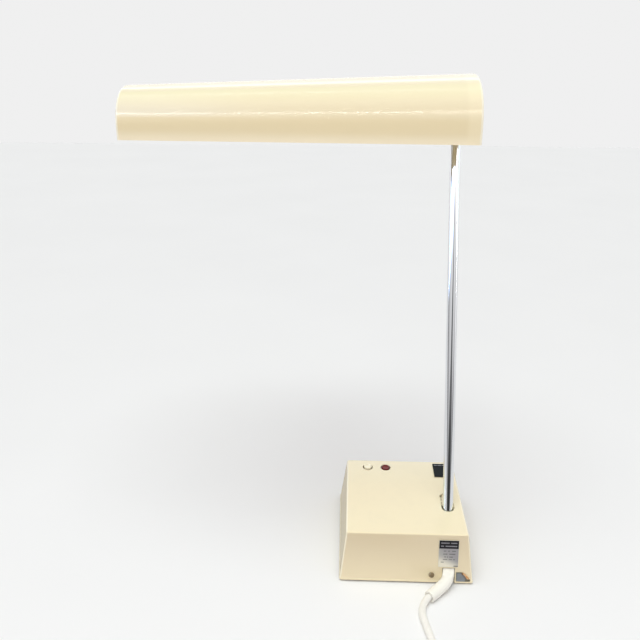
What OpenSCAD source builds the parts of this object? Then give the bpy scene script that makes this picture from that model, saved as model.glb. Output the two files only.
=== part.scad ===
// Desk lamp for two small fluorescent tubes: a heavy wedge-shaped base with two push buttons, a chromed
// stem that tilts in a slot of the base, and a long tapered shade that swivels and tilts on the stem.
// The origin is the middle of the underside of the base. +Z is up, the user sits on the -Y side,
// the cord leaves at the rear on the +Y side, and the free end of the shade points along +X.

/* [Base housing] */
// Width of the housing along its bottom edge
base_w = 150; // [140:1:170]
// Depth of the housing along its bottom edge
base_d = 164; // [156:1:190]
// Height of the top face above the table at its rear edge
base_h_rear = 60; // [58:1:70]
// Height of the top face above the table at its front edge
base_h_front = 69; // [66:1:76]
// Inward lean of the two side walls, in mm for each mm of height
side_draft = 0.12; // [0.05:0.01:0.15]
// Inward lean of the rear wall, in mm for each mm of height
rear_draft = 0.15; // [0.05:0.01:0.2]
// Inward lean of the front wall, in mm for each mm of height
front_draft = 0.3; // [0.15:0.01:0.35]
// Radius of the outer edges of the housing
base_r = 3; // [2.5:0.5:6]
// Wall of the housing
base_wall = 2.5; // [2:0.1:3]
// Thickness of the steel plate that closes the housing
plate_t = 3; // [2:0.5:4]
// Thickness of the rubber pad under the plate
pad_t = 2; // [1.5:0.5:3]
// Distance from the edge of the plate in to the edge of the pad
pad_inset = 4; // [2:1:8]

/* [Stem] */
// Outer diameter of the chromed stem
stem_d = 12; // [11:0.5:13]
// Wall of the stem
stem_wall = 1; // [0.8:0.1:1.2]
// Length of the chromed stem
stem_len = 454; // [380:1:520]
// Forward lean of the stem at rest, in degrees
stem_lean = 19.1; // [17:0.1:21]
// Sideways place of the stem
stem_x = -50; // [-52:1:-46]
// From the rear edge of the top face forwards to the middle of the stem
stem_in = 47.3; // [44.3:0.1:50.3]
// Height of the tilt bolt above the table
pivot_h = 22; // [21:0.5:24]
// Width of the slot in the top face
slot_w = 15; // [14.5:0.5:17]
// From the middle of the stem at rest to the rear end of the slot
slot_rear = 8.4; // [8.4:0.1:9.5]
// From the middle of the stem at rest to the front end of the slot
slot_front = 25.4; // [25.4:0.1:30]

/* [Shade] */
// Length of the shade
shade_l = 395; // [370:1:430]
// Width of the shade at the stem
shade_w_stem = 150; // [140:1:160]
// Width of the shade at its free end
shade_w_free = 109; // [104:1:130]
// Height of the shade at the stem
shade_h_stem = 69.7; // [66:0.1:76]
// Height of the shade at its free end
shade_h_free = 55.5; // [53:0.1:66]
// Straight part of the side wall above the lip at the stem
shade_side_stem = 14; // [10:1:18]
// Straight part of the side wall above the lip at the free end
shade_side_free = 11; // [8:1:15]
// Roundness of the arch: 2 is an ellipse, more is boxier
shade_arch = 2.35; // [2:0.05:2.6]
// Wall of the shade
shade_wall = 2.5; // [2:0.1:3]
// Radius of the edge between the arch and the end walls
shade_edge_r = 2.4; // [1:0.1:3]
// How far the shade reaches past the middle of the stem
shade_overhang = 18; // [17.5:0.5:24]
// Height of the shade's tilt bolt above the lip of the shade
tilt_above_lip = 20.5; // [19:0.5:24]

/* [Light] */
// Diameter of a fluorescent tube
tube_d = 16; // [15.5:0.5:16.5]
// Length of a fluorescent tube without its pins
tube_l = 288; // [286:1:290]
// Distance between the middles of the two tubes
tube_pitch = 44; // [40:1:46]
// Height of the middle of the tubes above the lip of the shade
tube_h = 20; // [18:1:22]
// Height of the flat of the reflector above the lip of the shade
reflector_h = 38; // [36:0.5:39]
// Thickness of the reflector sheet
reflector_t = 0.8; // [0.6:0.1:1]

/* [Buttons] */
// Diameter of a push button
button_d = 9.6; // [9:0.2:11]
// Gap round a button in its hole
button_gap = 1.4; // [0.6:0.1:1.6]
// How far the white start button stands out of the top face
start_proud = 1.5; // [1:0.1:3]
// How far the red stop button stands out of the top face
stop_proud = 0.4; // [0.2:0.1:2]
// How far a button can be pressed
button_travel = 2.6; // [2:0.1:3.4]
// Sideways place of the red stop button
red_x = 18.5; // [16:0.5:19]
// Sideways place of the white start button
white_x = 40.8; // [40:0.5:44]
// From the front edge of the top face back to the middle of the buttons
button_in = 15; // [14.2:0.2:18.2]

/* [Cord] */
// Diameter of the mains cord
cord_d = 7.6; // [7:0.1:8]
// Diameter of the sleeve where the cord leaves the base
sleeve_d = 13; // [12:0.5:14]
// Bore of the sleeve
sleeve_bore = 8.6; // [8.4:0.1:9]
// Whole length of the mains cord, from the base to the plug
cord_len = 1800; // [1700:10:1900]
// Turns of the coil that the spare cord is put away in
coil_turns = 6.25; // [6.25:1:8.25]
// From the middle of one turn of the coil to the next
coil_pitch = 8.3; // [8.3:0.1:9]

/* [Hidden] */

cream = [0.93, 0.87, 0.72];
fine = 64;
thread_gap = 0.03;
run_gap = 0.05;
hair = 0.3;

// Shape of the housing: heights and places of its walls
plate_gap = 0.8;
top_y_rear = base_d / 2 - rear_draft * (base_h_rear - pad_t);
top_y_front = -base_d / 2 + front_draft * (base_h_front - pad_t);
top_slope = atan((base_h_front - base_h_rear) / (top_y_rear - top_y_front));
rear_angle = atan(rear_draft);
front_angle = atan(front_draft);
plate_top = pad_t + plate_t;
stem_y = top_y_rear - stem_in;
button_y = top_y_front + button_in;
function top_z(y) = base_h_rear + (top_y_rear - y) * tan(top_slope);
function rear_y(z) = base_d / 2 - rear_draft * (z - pad_t);
function front_y(z) = -base_d / 2 + front_draft * (z - pad_t);
function side_x(z) = base_w / 2 - side_draft * (z - pad_t);

// Stem, its tilt bolt in the base and the shade's tilt bolt at its top
pivot_y = stem_y + (top_z(stem_y) - pivot_h) * tan(stem_lean);
foot_h = 10;
neck_h = 26;
reach = foot_h + stem_len + neck_h;
tilt_y = pivot_y - reach * sin(stem_lean);
tilt_z = pivot_h + reach * cos(stem_lean);
lip_z = tilt_z - tilt_above_lip;
stem_bore = stem_d - 2 * stem_wall;

// Tilt joint in the base
foot_w = 14;
foot_r = 9;
pivot_d = 6;
washer_t = 1;
ear_t = 2.5;
ear_r = 10;
ear_in = foot_w / 2 + washer_t + 0.1;
bracket_half = 22;
bracket_screw_y = 16;
bolt_stack = 2 * (ear_in + ear_t);

// Cover that slides under the slot
cover_t = 1.2;
cover_gap = 0.3;
cover_w = slot_w + 6;
cover_reach = 32;
cover_drop = base_wall + cover_gap + cover_t / 2;
cover_shift = cover_drop * tan(stem_lean + top_slope);
cover_hole_l = stem_d + 8;
rail_w = 1.5;
rail_travel = 19;

// Joint at the neck
swivel_post_d = 8;
swivel_d = 16;
swivel_gap = 0.3;
tongue_w = 8;
tongue_r = 8;
tilt_d = 5;
tilt_washer_t = 0.8;
tilt_ear_t = 2;
tilt_ear_in = tongue_w / 2 + tilt_washer_t;
tilt_stack = 2 * (tilt_ear_in + tilt_ear_t);
shade_flange_h = 43;
shade_screw_y = 14;

// Shade: half width and height at a distance u from its stem end
function along(u) = u / shade_l;
function shade_half(u) = (shade_w_stem + (shade_w_free - shade_w_stem) * along(u)) / 2;
function shade_high(u) = shade_h_stem + (shade_h_free - shade_h_stem) * along(u);
function shade_side(u) = shade_side_stem + (shade_side_free - shade_side_stem) * along(u);
shade_x0 = -shade_overhang;
shade_x1 = shade_l - shade_overhang;
arch_steps = 44;

// Tubes and what holds them
holder_t = 9;
holder_w = 20;
holder_below = 11;
holder_end_gap = 3;
tube_x1 = shade_x1 - shade_wall - holder_end_gap - holder_t - hair;
tube_x0 = tube_x1 - tube_l;
cap_l = 7;
pin_pitch = 4.75;
pin_d = 2.4;
tube_pin_l = 7;
reflector_x0 = tube_x0 - holder_t - 6;
reflector_x1 = tube_x1 + holder_t + hair + 1;
reflector_flat = tube_pitch + holder_w + 2;
reflector_skirt = reflector_flat + 18;
reflector_skirt_h = 26;
reflector_screw_in = 12;
reflector_screw_l = 8;
reflector_head_d = 6;
reflector_run = reflector_x1 - reflector_x0 - 2 * reflector_screw_in;
reflector_screw_u = [for (share = [0, 0.5, 1])
    reflector_x0 + reflector_screw_in + share * reflector_run - shade_x0];

// Push-button switch under the top face
switch_l = abs(white_x - red_x) + 20;
switch_w = 19;
switch_h = 24;
button_cap_h = 3.2;
switch_drop = button_cap_h - min(start_proud, stop_proud) + button_travel + 1;
shaft_d = 7;
shaft_bore = shaft_d + 2 * run_gap;
spring_l = button_travel + 6.4;
spring_wire = 0.7;
spring_d = 5.4;
spring_turns = 5;
switch_x = (red_x + white_x) / 2;

// Choke, terminals and cord clamp on the plate
choke_x = 22;
choke_y = 20;
core_l = 70;
core_w = 41;
core_h = 34;
leg_w = 11;
window_w = 9;
window_h = 20;
strap_t = 1.5;
strap_l = 34;
strap_foot = 12;
choke_screw_y = core_w / 2 + strap_t + strap_foot / 2 + hair;
terminal_x = -16;
terminal_y = -30;
terminal_screw_x = 10;
clamp_x = stem_x + 3;
clamp_y = base_d / 2 - 14;
clamp_l = 8;
clamp_screw_x = 12;
clamp_foot_h = 4.5;
cord_r = cord_d / 2;
sleeve_high = 12.8;

// Things stuck on the housing
label_w = 22.2;
label_l = 32.6;
label_t = 0.3;
label_x = clamp_x + 1;
label_z = 37.5;
name_plate_w = 18.5;
name_plate_l = 26.8;
name_plate_x = stem_x;
name_plate_y = top_y_front + 19.3;
foil_x = clamp_x - 16;
foil_z = 9.8;

// Route of the cord from the clamp to the coil
sleeve_r = sleeve_d / 2;
lead_turns = concat(
    [[0, -14, sleeve_high], [0, -5.2, sleeve_high], [0, -3.5, sleeve_high - 0.1], [0.5, 0, sleeve_high - 0.6],
    [1.8, 4.2, sleeve_high - 1.4], [4, 8, sleeve_high - 2.4], [7, 11.6, sleeve_r + 2.8],
    [13.5, 17.7, sleeve_r + 1.2], [19.5, 23.2, sleeve_r + 0.3], [24.2, 27.6, sleeve_r],
    [28.3, 32.3, sleeve_r - 0.9], [31.9, 39.2, cord_r + 0.8], [33.4, 46.9, cord_r + 0.2]],
    [for (p = [[33.1, 54.7], [32, 61.5], [29.6, 74.4], [27.2, 87], [25.4, 99], [24.4, 110], [24, 121],
    [24, 137], [24, 155]]) [p[0], p[1], cord_r]]);
lead_route = [for (p = lead_turns) p + [clamp_x, base_d / 2, 0]];
sleeve_last = 9;
lead_end = lead_route[len(lead_route) - 1];
tail_run = 40;
plug_h = 13.5;

// Coil: in at one level, out again at the next, and as long as the rest of the cord needs
layer_turns = coil_turns / 2;
coil_rings = 24;
coil_straight = cord_d;
lead_len = route_length(lead_route);
wound_len = cord_len - lead_len - tail_run - 2 * coil_straight;
coil_mid_r = wound_len / (360 * coil_turns) * 180 / PI;
coil_out_r = coil_mid_r + coil_pitch * layer_turns / 2;
coil_in_r = coil_mid_r - coil_pitch * layer_turns / 2;
coil_c = [lead_end[0] + coil_out_r, lead_end[1] + coil_straight];
function bounded(a) = max(0, min(1, a));
function eased(a) = a * a * (3 - 2 * a);
function coil_level(t) = eased(bounded(2 * (t - layer_turns) + 0.5));
function coil_r(t) = coil_in_r + coil_pitch * abs(t - layer_turns);
function coil_point(t) = [
    coil_c[0] + coil_r(t) * cos(180 - 360 * t),
    coil_c[1] + coil_r(t) * sin(180 - 360 * t),
    cord_r + coil_pitch * coil_level(t)];
coil_steps = ceil(coil_turns * coil_rings);
coil_turned = [for (i = [0:coil_steps]) coil_point(coil_turns * i / coil_steps)];
coil_end = coil_point(coil_turns);
coil_route = concat([coil_turned[0] - [0, coil_straight, 0]], coil_turned,
    [coil_end + [coil_straight, 0, 0]]);
tail_start = coil_route[len(coil_route) - 1];
plug_start = [tail_start[0] + tail_run, tail_start[1], plug_h];
tail_rise = plug_h - tail_start[2];
tail_route = [for (i = [0:6]) tail_start + [tail_run * i / 6, 0, tail_rise * eased(bounded((i - 1) / 4))]];

// Least gap between points of the coil that are more than half a turn apart along it
coil_gap = min([for (i = [0:coil_steps - 13]) for (j = [i + 12:coil_steps])
    norm(coil_turned[i] - coil_turned[j])]) - cord_d;
echo("least gap of the coil to itself", coil_gap);
echo("cord length", lead_len + route_length(coil_route) + route_length(tail_route));
echo("coil inner and outer radius", coil_in_r, coil_out_r);

function unit(v) = v / norm(v);
function route_length(p) = len(p) < 2 ? 0 : run_sum([for (i = [1:len(p) - 1]) norm(p[i] - p[i - 1])]);
function run_sum(v, i = 0) = i < len(v) ? v[i] + run_sum(v, i + 1) : 0;
function heading(p, i) = unit(p[min(i + 1, len(p) - 1)] - p[max(i - 1, 0)]);
function ring(c, t, r, n) =
    let(side = unit(cross(t, [0, 0, 1])), up = cross(side, t))
    [for (k = [0:n - 1]) c + r * (cos(360 * k / n) * side + sin(360 * k / n) * up)];

// Faces between rings of n points, each ring as a closed loop, for m rings
function wall_faces(m, n, start = 0) = [for (i = [0:m - 2]) for (k = [0:n - 1]) for (half = [0, 1])
    let(a = start + i * n + k, b = start + i * n + (k + 1) % n)
    half == 0 ? [a, b, b + n] : [a, b + n, a + n]];

// Solid through a list of rings that all have as many points
module loft(rings) {
    n = len(rings[0]);
    m = len(rings);
    points = [for (r = rings) for (p = r) p];
    first = [for (k = [n - 1:-1:0]) k];
    last = [for (k = [0:n - 1]) (m - 1) * n + k];
    polyhedron(points, concat(wall_faces(m, n), [first, last]), 6);
}

// Round cord or wire along a route
module cord_along(route, r, sides) {
    loft([for (i = [0:len(route) - 1]) ring(route[i], heading(route, i), r, sides)]);
}

// Frames on the faces of the housing: local +Z points straight out of the face
module at_top(x, y) {
    translate([x, y, top_z(y)]) rotate([-top_slope, 0, 0]) children();
}
module at_rear(x, z) {
    translate([x, rear_y(z), z]) rotate([rear_angle - 90, 0, 0]) children();
}
module at_front(x, z) {
    translate([x, front_y(z), z]) rotate([90 - front_angle, 0, 0]) children();
}
module at_stem(s) {
    translate([stem_x, pivot_y, pivot_h]) rotate([stem_lean, 0, 0]) translate([0, 0, s]) children();
}
module at_shade() {
    translate([stem_x, tilt_y, lip_z]) children();
}
module across(x) {
    translate([x, 0, 0]) rotate([0, 90, 0]) children();
}

module rounded_sheet(w, d, r, t) {
    linear_extrude(t) {
        square([w - 2 * r, d], center = true);
        square([w, d - 2 * r], center = true);
        for (sx = [-1, 1]) {
            for (sy = [-1, 1]) translate([sx * (w / 2 - r), sy * (d / 2 - r)]) circle(r, $fn = fine);
        }
    }
}
module slot_shape(w, y0, y1, z0, z1) {
    translate([0, 0, z0]) linear_extrude(z1 - z0) {
        translate([-w / 2, y0 + w / 2]) square([w, y1 - y0 - w]);
        translate([0, y0 + w / 2]) circle(w / 2, $fn = fine);
        translate([0, y1 - w / 2]) circle(w / 2, $fn = fine);
    }
}

// Slotted screw with its head above z = 0 and its shank below
module screw(d, l, head_d, head_h) {
    difference() {
        cylinder(d = head_d, h = head_h, $fn = fine);
        translate([-head_d / 2 - 1, -head_d / 12, head_h * 0.5]) cube([head_d + 2, head_d / 6, head_h]);
    }
    translate([0, 0, -l]) cylinder(d = d, h = l, $fn = fine);
}
module washer(inner, outer, t) {
    difference() {
        cylinder(d = outer, h = t, $fn = fine);
        translate([0, 0, -1]) cylinder(d = inner, h = t + 2, $fn = fine);
    }
}
module hex_nut(bore, flats, t) {
    difference() {
        cylinder(d = flats / cos(30), h = t, $fn = 6);
        translate([0, 0, -1]) cylinder(d = bore, h = t + 2, $fn = fine);
    }
}

// Wedge with leaning walls and round edges, its walls moved in by an inset
module wedge(inset, r) {
    low = pad_t - 3 * base_r;
    function in(k) = (inset + r) * sqrt(1 + k * k);
    function corner(sx, z, y) = [sx * (side_x(z) - in(side_draft)), y, z];
    z_low = low;
    z_rear = base_h_rear - in(tan(top_slope)) + (in(rear_draft) - rear_draft * in(0)) * tan(top_slope);
    z_front = base_h_front - in(tan(top_slope)) - (in(front_draft) - front_draft * in(0)) * tan(top_slope);
    hull() {
        for (sx = [-1, 1]) {
            translate(corner(sx, z_low, rear_y(z_low) - in(rear_draft))) sphere(r, $fn = 32);
            translate(corner(sx, z_low, front_y(z_low) + in(front_draft))) sphere(r, $fn = 32);
            translate(corner(sx, z_rear, rear_y(z_rear) - in(rear_draft))) sphere(r, $fn = 32);
            translate(corner(sx, z_front, front_y(z_front) + in(front_draft))) sphere(r, $fn = 32);
        }
    }
}

// Base
module base_pad() {
    color("dimgray") rounded_sheet(plate_w() - 2 * pad_inset, plate_d() - 2 * pad_inset, 6, pad_t);
}
function plate_w() = 2 * (side_x(plate_top) - base_wall * sqrt(1 + pow(side_draft, 2)) - plate_gap);
function plate_rear() = rear_y(plate_top) - base_wall * sqrt(1 + pow(rear_draft, 2)) - plate_gap;
function plate_front() = front_y(plate_top) + base_wall * sqrt(1 + pow(front_draft, 2)) + plate_gap;
function plate_d() = plate_rear() - plate_front();
function plate_mid() = (plate_rear() + plate_front()) / 2;

tab_t = 1.6;
tab_w = 14;
screw_z = 11.3;
rear_screw_x = clamp_x + 19;
front_screw_x = 0;
housing_screw_d = 3;
housing_screw_l = 8;
housing_head_d = 6.2;
module screw_tab(extra) {
    translate([-tab_w / 2, -7, -base_wall - hair - tab_t - extra]) cube([tab_w, 14, tab_t + extra]);
}
module base_plate() {
    color("silver") difference() {
        union() {
            translate([0, plate_mid(), pad_t]) rounded_sheet(plate_w(), plate_d(), 4, plate_t);
            intersection() {
                union() {
                    at_rear(rear_screw_x, screw_z) screw_tab(0);
                    at_front(front_screw_x, screw_z) screw_tab(0);
                }
                translate([-base_w / 2, -base_d / 2, plate_top - 1]) cube([base_w, base_d, base_h_rear]);
            }
        }
        at_rear(rear_screw_x, screw_z) screw_bore();
        at_front(front_screw_x, screw_z) screw_bore();
        for (p = plate_screws()) translate([p[0], p[1], plate_top - p[2]]) {
            cylinder(d = p[3] + 2 * thread_gap, h = p[2] + 1, $fn = fine);
        }
    }
}
module screw_bore() {
    translate([0, 0, -housing_screw_l - 2]) {
        cylinder(d = housing_screw_d + 2 * thread_gap, h = housing_screw_l + 4, $fn = fine);
    }
}

// Screws that go down into the plate: x, y, depth and diameter
small_depth = 2;
small_screw_d = 3;
small_head_d = 5.6;
small_head_h = 2;
large_screw_d = 4;
large_head_d = 7.5;
large_head_h = 2.6;
function plate_screws() = concat(
    [for (s = [-1, 1]) [stem_x, pivot_y + s * bracket_screw_y, small_depth, large_screw_d]],
    [for (s = [-1, 1]) [choke_x, choke_y + s * choke_screw_y, small_depth, large_screw_d]],
    [for (s = [-1, 1]) [clamp_x + s * clamp_screw_x, clamp_y + clamp_l / 2, small_depth, small_screw_d]],
    [[terminal_x, terminal_y, small_depth, small_screw_d]]);

notch_w = sleeve_d + 1;
notch_h = sleeve_high + sleeve_d / 2 + 0.6;
module cord_notch() {
    translate([clamp_x, base_d / 2 + 12, notch_h / 2 - 2]) rotate([90, 0, 0]) {
        rounded_sheet(notch_w, notch_h + 4, 1.5, 24);
    }
}
module cover_rail(side) {
    z_top = -base_wall + 0.5;
    z_low = -base_wall - 2 * cover_gap - cover_t;
    y0 = -cover_reach - rail_travel;
    long = 2 * cover_reach + rail_travel;
    x0 = cover_w / 2 + hair;
    translate([side > 0 ? x0 : -x0 - rail_w, y0, z_low - 1]) cube([rail_w, long, z_top - z_low + 1]);
    translate([side > 0 ? x0 - 1.2 : -x0 - rail_w, y0, z_low - 1]) cube([rail_w + 1.2, long, 1]);
}
module base_housing() {
    boss_r = 3.5;
    color(cream) difference() {
        union() {
            difference() {
                wedge(0, base_r);
                wedge(base_wall, max(0.5, base_r - base_wall));
            }
            at_top(stem_x, stem_y) {
                cover_rail(1);
                cover_rail(-1);
            }
            for (s = [-1, 1]) at_top(switch_x + s * (switch_l / 2 + 4), button_y) {
                translate([0, 0, -switch_drop - 2]) cylinder(r = boss_r, h = switch_drop + 1, $fn = fine);
            }
        }
        translate([-base_w, -base_d, pad_t - base_h_rear]) cube([2 * base_w, 2 * base_d, base_h_rear]);
        at_top(stem_x, stem_y) slot_shape(slot_w, -slot_front, slot_rear, -base_wall - 1, 2);
        for (x = [red_x, white_x]) at_top(x, button_y) {
            translate([0, 0, -base_wall - 1]) {
                cylinder(d = button_d + 2 * button_gap, h = base_wall + 3, $fn = fine);
            }
        }
        for (s = [-1, 1]) at_top(switch_x + s * (switch_l / 2 + 4), button_y) {
            translate([0, 0, -switch_drop - 3]) {
                cylinder(d = small_screw_d + 2 * thread_gap, h = 6, $fn = fine);
            }
        }
        at_rear(rear_screw_x, screw_z) screw_bore();
        at_front(front_screw_x, screw_z) screw_bore();
        cord_notch();
    }
}
module housing_screw() {
    screw(housing_screw_d, housing_screw_l - 1, housing_head_d, small_head_h);
}
module housing_screws() {
    color("gray") {
        at_rear(rear_screw_x, screw_z) housing_screw();
        at_front(front_screw_x, screw_z) housing_screw();
    }
}
module rating_label() {
    color("gainsboro") at_rear(label_x, label_z) translate([0, 0, 0.02]) {
        rounded_sheet(label_w, label_l, 1, label_t);
    }
}
module name_plate() {
    color("black") at_top(name_plate_x, name_plate_y) translate([0, 0, 0.02]) {
        rounded_sheet(name_plate_w, name_plate_l, 1, label_t);
    }
}
module foil_sticker() {
    color("slategray") at_rear(foil_x, foil_z) translate([0, 0, 0.02]) linear_extrude(0.2) {
        polygon([[7.7, -5.2], [3.4, -5.4], [0.2, -5.3], [-0.9, -4.3], [-2.6, -3.8], [-3.7, -2.1],
            [-5.7, -1.1], [-6.4, 0.4], [-7.6, 1.4], [-8.2, 3.4], [-8, 5.5], [-2, 5.7], [7.4, 5.5]]);
    }
}

// Tilt joint in the base
module pivot_bracket() {
    hole = pivot_d + 2 * run_gap;
    color("darkgray") difference() {
        union() {
            translate([stem_x - ear_in - ear_t, pivot_y - bracket_half, plate_top]) {
                cube([2 * (ear_in + ear_t), 2 * bracket_half, ear_t]);
            }
            for (s = [-1, 1]) translate([stem_x + (s > 0 ? ear_in : -ear_in - ear_t), pivot_y, 0]) {
                translate([0, 0, pivot_h]) across(0) cylinder(r = ear_r, h = ear_t, $fn = fine);
                translate([0, -ear_r, plate_top]) cube([ear_t, 2 * ear_r, pivot_h - plate_top]);
            }
        }
        translate([stem_x, pivot_y, pivot_h]) across(-bolt_stack) {
            cylinder(d = hole, h = 2 * bolt_stack, $fn = fine);
        }
        for (s = [-1, 1]) translate([stem_x, pivot_y + s * bracket_screw_y, plate_top - 1]) {
            cylinder(d = large_screw_d + 2 * run_gap, h = ear_t + 2, $fn = fine);
        }
    }
}
module bracket_screws() {
    color("gray") for (s = [-1, 1]) translate([stem_x, pivot_y + s * bracket_screw_y, plate_top + ear_t]) {
        screw(large_screw_d, ear_t + small_depth - 0.2, large_head_d, large_head_h);
    }
}
module pivot_bolt() {
    color("lightgray") translate([stem_x, pivot_y, pivot_h]) {
        across(-bolt_stack / 2 - 4) cylinder(d = 10 / cos(30), h = 4, $fn = 6);
        across(-bolt_stack / 2 - 0.5) cylinder(d = pivot_d, h = bolt_stack + 8.5, $fn = fine);
    }
}
module pivot_washers() {
    color("gray") translate([stem_x, pivot_y, pivot_h]) {
        across(-foot_w / 2 - washer_t - 0.05) washer(pivot_d + 2 * thread_gap, 15, washer_t);
        across(foot_w / 2 + 0.05) washer(pivot_d + 2 * thread_gap, 15, washer_t);
        across(bolt_stack / 2) washer(pivot_d + 2 * thread_gap, 12, 1.6);
    }
}
module pivot_nut() {
    color("lightgray") translate([stem_x, pivot_y, pivot_h]) {
        across(bolt_stack / 2 + 1.6) hex_nut(pivot_d + 2 * thread_gap, 10, 5);
    }
}

// Choke
module at_choke() {
    translate([choke_x, choke_y, plate_top]) children();
}
window_mid = (leg_w + window_w) / 2;
module choke_core() {
    color("dimgray") at_choke() difference() {
        translate([-core_l / 2, -core_w / 2, 0]) cube([core_l, core_w, core_h]);
        for (s = [-1, 1]) translate([-core_l, s * window_mid - window_w / 2, (core_h - window_h) / 2]) {
            cube([2 * core_l, window_w, window_h]);
        }
    }
}
module choke_coil() {
    out_w = leg_w + 2 * window_w - 2 * hair;
    out_l = core_l + 2 * window_w;
    coil_h = window_h - 2 * hair;
    color("peru") at_choke() translate([0, 0, core_h / 2 - coil_h / 2]) difference() {
        rounded_sheet(out_l, out_w, 6, coil_h);
        translate([-core_l / 2 - hair, -leg_w / 2 - hair, -1]) {
            cube([core_l + 2 * hair, leg_w + 2 * hair, coil_h + 2]);
        }
    }
}
module choke_strap() {
    high = core_h + strap_t;
    in = core_w / 2;
    color("silver") at_choke() difference() {
        union() {
            translate([-strap_l / 2, -in - strap_t, core_h]) cube([strap_l, 2 * (in + strap_t), strap_t]);
            for (s = [-1, 1]) {
                translate([-strap_l / 2, s > 0 ? in : -in - strap_t, 0]) cube([strap_l, strap_t, high]);
                translate([-strap_l / 2, s > 0 ? in : -in - strap_t - strap_foot, 0]) {
                    cube([strap_l, strap_t + strap_foot, strap_t]);
                }
            }
        }
        for (s = [-1, 1]) translate([0, s * choke_screw_y, -1]) {
            cylinder(d = large_screw_d + 2 * run_gap, h = strap_t + 2, $fn = fine);
        }
    }
}
module choke_screws() {
    color("gray") for (s = [-1, 1]) {
        at_choke() translate([0, s * choke_screw_y, strap_t]) {
            screw(large_screw_d, strap_t + small_depth - 0.2, large_head_d, large_head_h);
        }
    }
}

// Switch: two plungers in one block that hangs from the housing
module switch_body() {
    ear = 8;
    color("white") at_top(switch_x, button_y) difference() {
        union() {
            translate([-switch_l / 2, -switch_w / 2, -switch_drop - switch_h]) {
                cube([switch_l, switch_w, switch_h]);
            }
            translate([-switch_l / 2 - ear, -5, -switch_drop - 5]) cube([switch_l + 2 * ear, 10, 2.8]);
        }
        for (x = [red_x, white_x]) translate([x - switch_x, 0, -switch_drop - switch_h + 3]) {
            cylinder(d = shaft_bore, h = switch_h, $fn = fine);
        }
        for (s = [-1, 1]) translate([s * (switch_l / 2 + 4), 0, -switch_drop - 6]) {
            cylinder(d = small_screw_d + 2 * thread_gap, h = 6, $fn = fine);
        }
    }
}
module switch_screws() {
    color("gray") for (s = [-1, 1]) at_top(switch_x + s * (switch_l / 2 + 4), button_y) {
        translate([0, 0, -switch_drop - 5]) rotate([180, 0, 0]) {
            screw(small_screw_d, 6.5, small_head_d, small_head_h);
        }
    }
}
module switch_contacts() {
    color("goldenrod") at_top(switch_x, button_y) for (s = [-3, -1, 1, 3]) {
        translate([s * switch_l / 9 - 2.4, -0.4, -switch_drop - switch_h - 7]) cube([4.8, 0.8, 7]);
    }
}
spring_low = -switch_drop - switch_h + 3;
spring_r = (spring_d - spring_wire) / 2;
spring_steps = 8;
function spring_point(i, rise) = let(a = 360 * i / spring_steps)
    [spring_r * cos(a), spring_r * sin(a), spring_low + spring_wire + rise * i];
module spring_at(x) {
    count = spring_turns * spring_steps;
    rise = (spring_l - 2 * spring_wire) / count;
    color("silver") at_top(x, button_y) {
        cord_along([for (i = [0:count]) spring_point(i, rise)], spring_wire / 2, 6);
    }
}
module start_spring() {
    spring_at(white_x);
}
module stop_spring() {
    spring_at(red_x);
}
module button_at(x, proud) {
    cap_r = button_d / 2;
    cap_low = proud - button_cap_h;
    shaft_low = spring_low + spring_l;
    at_top(x, button_y) {
        rotate_extrude($fn = fine) {
            polygon([[0, cap_low], [cap_r, cap_low], [cap_r, proud - 0.6], [cap_r - 0.6, proud],
                [cap_r - 1.3, proud], [cap_r * 2 / 3, proud - 0.5], [cap_r / 3, proud - 0.8],
                [0, proud - 0.9]]);
        }
        translate([0, 0, shaft_low]) cylinder(d = shaft_d, h = cap_low - shaft_low + 0.5, $fn = fine);
    }
}
module start_button() {
    color("ivory") button_at(white_x, start_proud);
}
module stop_button() {
    color("firebrick") button_at(red_x, stop_proud);
}

// Terminals and clamp
terminal_l = 34;
terminal_w = 16;
terminal_h = 13;
terminal_way_d = 3.4;
terminal_way_h = 5;
terminal_deep = 5;
module terminal_block() {
    color("whitesmoke") translate([terminal_x, terminal_y, plate_top]) difference() {
        translate([-terminal_l / 2, -terminal_w / 2, 0]) cube([terminal_l, terminal_w, terminal_h]);
        for (i = [-1, 1]) translate([i * terminal_screw_x, 0, terminal_h - terminal_deep - 1]) {
            cylinder(d = 5 + 2 * run_gap, h = terminal_deep + 2, $fn = fine);
        }
        for (i = [-1, 1]) translate([i * terminal_screw_x, -terminal_w, terminal_way_h]) rotate([-90, 0, 0]) {
            cylinder(d = terminal_way_d, h = 2 * terminal_w, $fn = fine);
        }
        translate([0, 0, -1]) cylinder(d = small_screw_d + 2 * run_gap, h = terminal_h + 2, $fn = fine);
        translate([0, 0, terminal_h - terminal_deep]) cylinder(d = 6.4, h = terminal_deep + 1, $fn = fine);
    }
}
module terminal_screws() {
    color("gray") translate([terminal_x, terminal_y, plate_top]) {
        for (i = [-1, 1]) translate([i * terminal_screw_x, 0, terminal_h - 1]) screw(4, 4.6, 5, 0.8);
        translate([0, 0, terminal_h - terminal_deep]) {
            screw(small_screw_d, terminal_h - terminal_deep + small_depth - 0.2, 6, 2.4);
        }
    }
}
module cord_clamp() {
    wide = 34;
    high = sleeve_high - plate_top + cord_r + 3;
    color("whitesmoke") difference() {
        translate([clamp_x - wide / 2, clamp_y, plate_top]) {
            cube([wide, clamp_l, clamp_foot_h]);
            translate([wide / 2 - 8, 0, 0]) cube([16, clamp_l, high]);
        }
        translate([clamp_x, clamp_y - 1, sleeve_high]) rotate([-90, 0, 0]) {
            cylinder(r = cord_r + 0.2, h = clamp_l + 2, $fn = fine);
        }
        for (s = [-1, 1]) translate([clamp_x + s * clamp_screw_x, clamp_y + clamp_l / 2, plate_top - 1]) {
            cylinder(d = small_screw_d + 2 * run_gap, h = clamp_foot_h + 2.5, $fn = fine);
        }
    }
}
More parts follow.
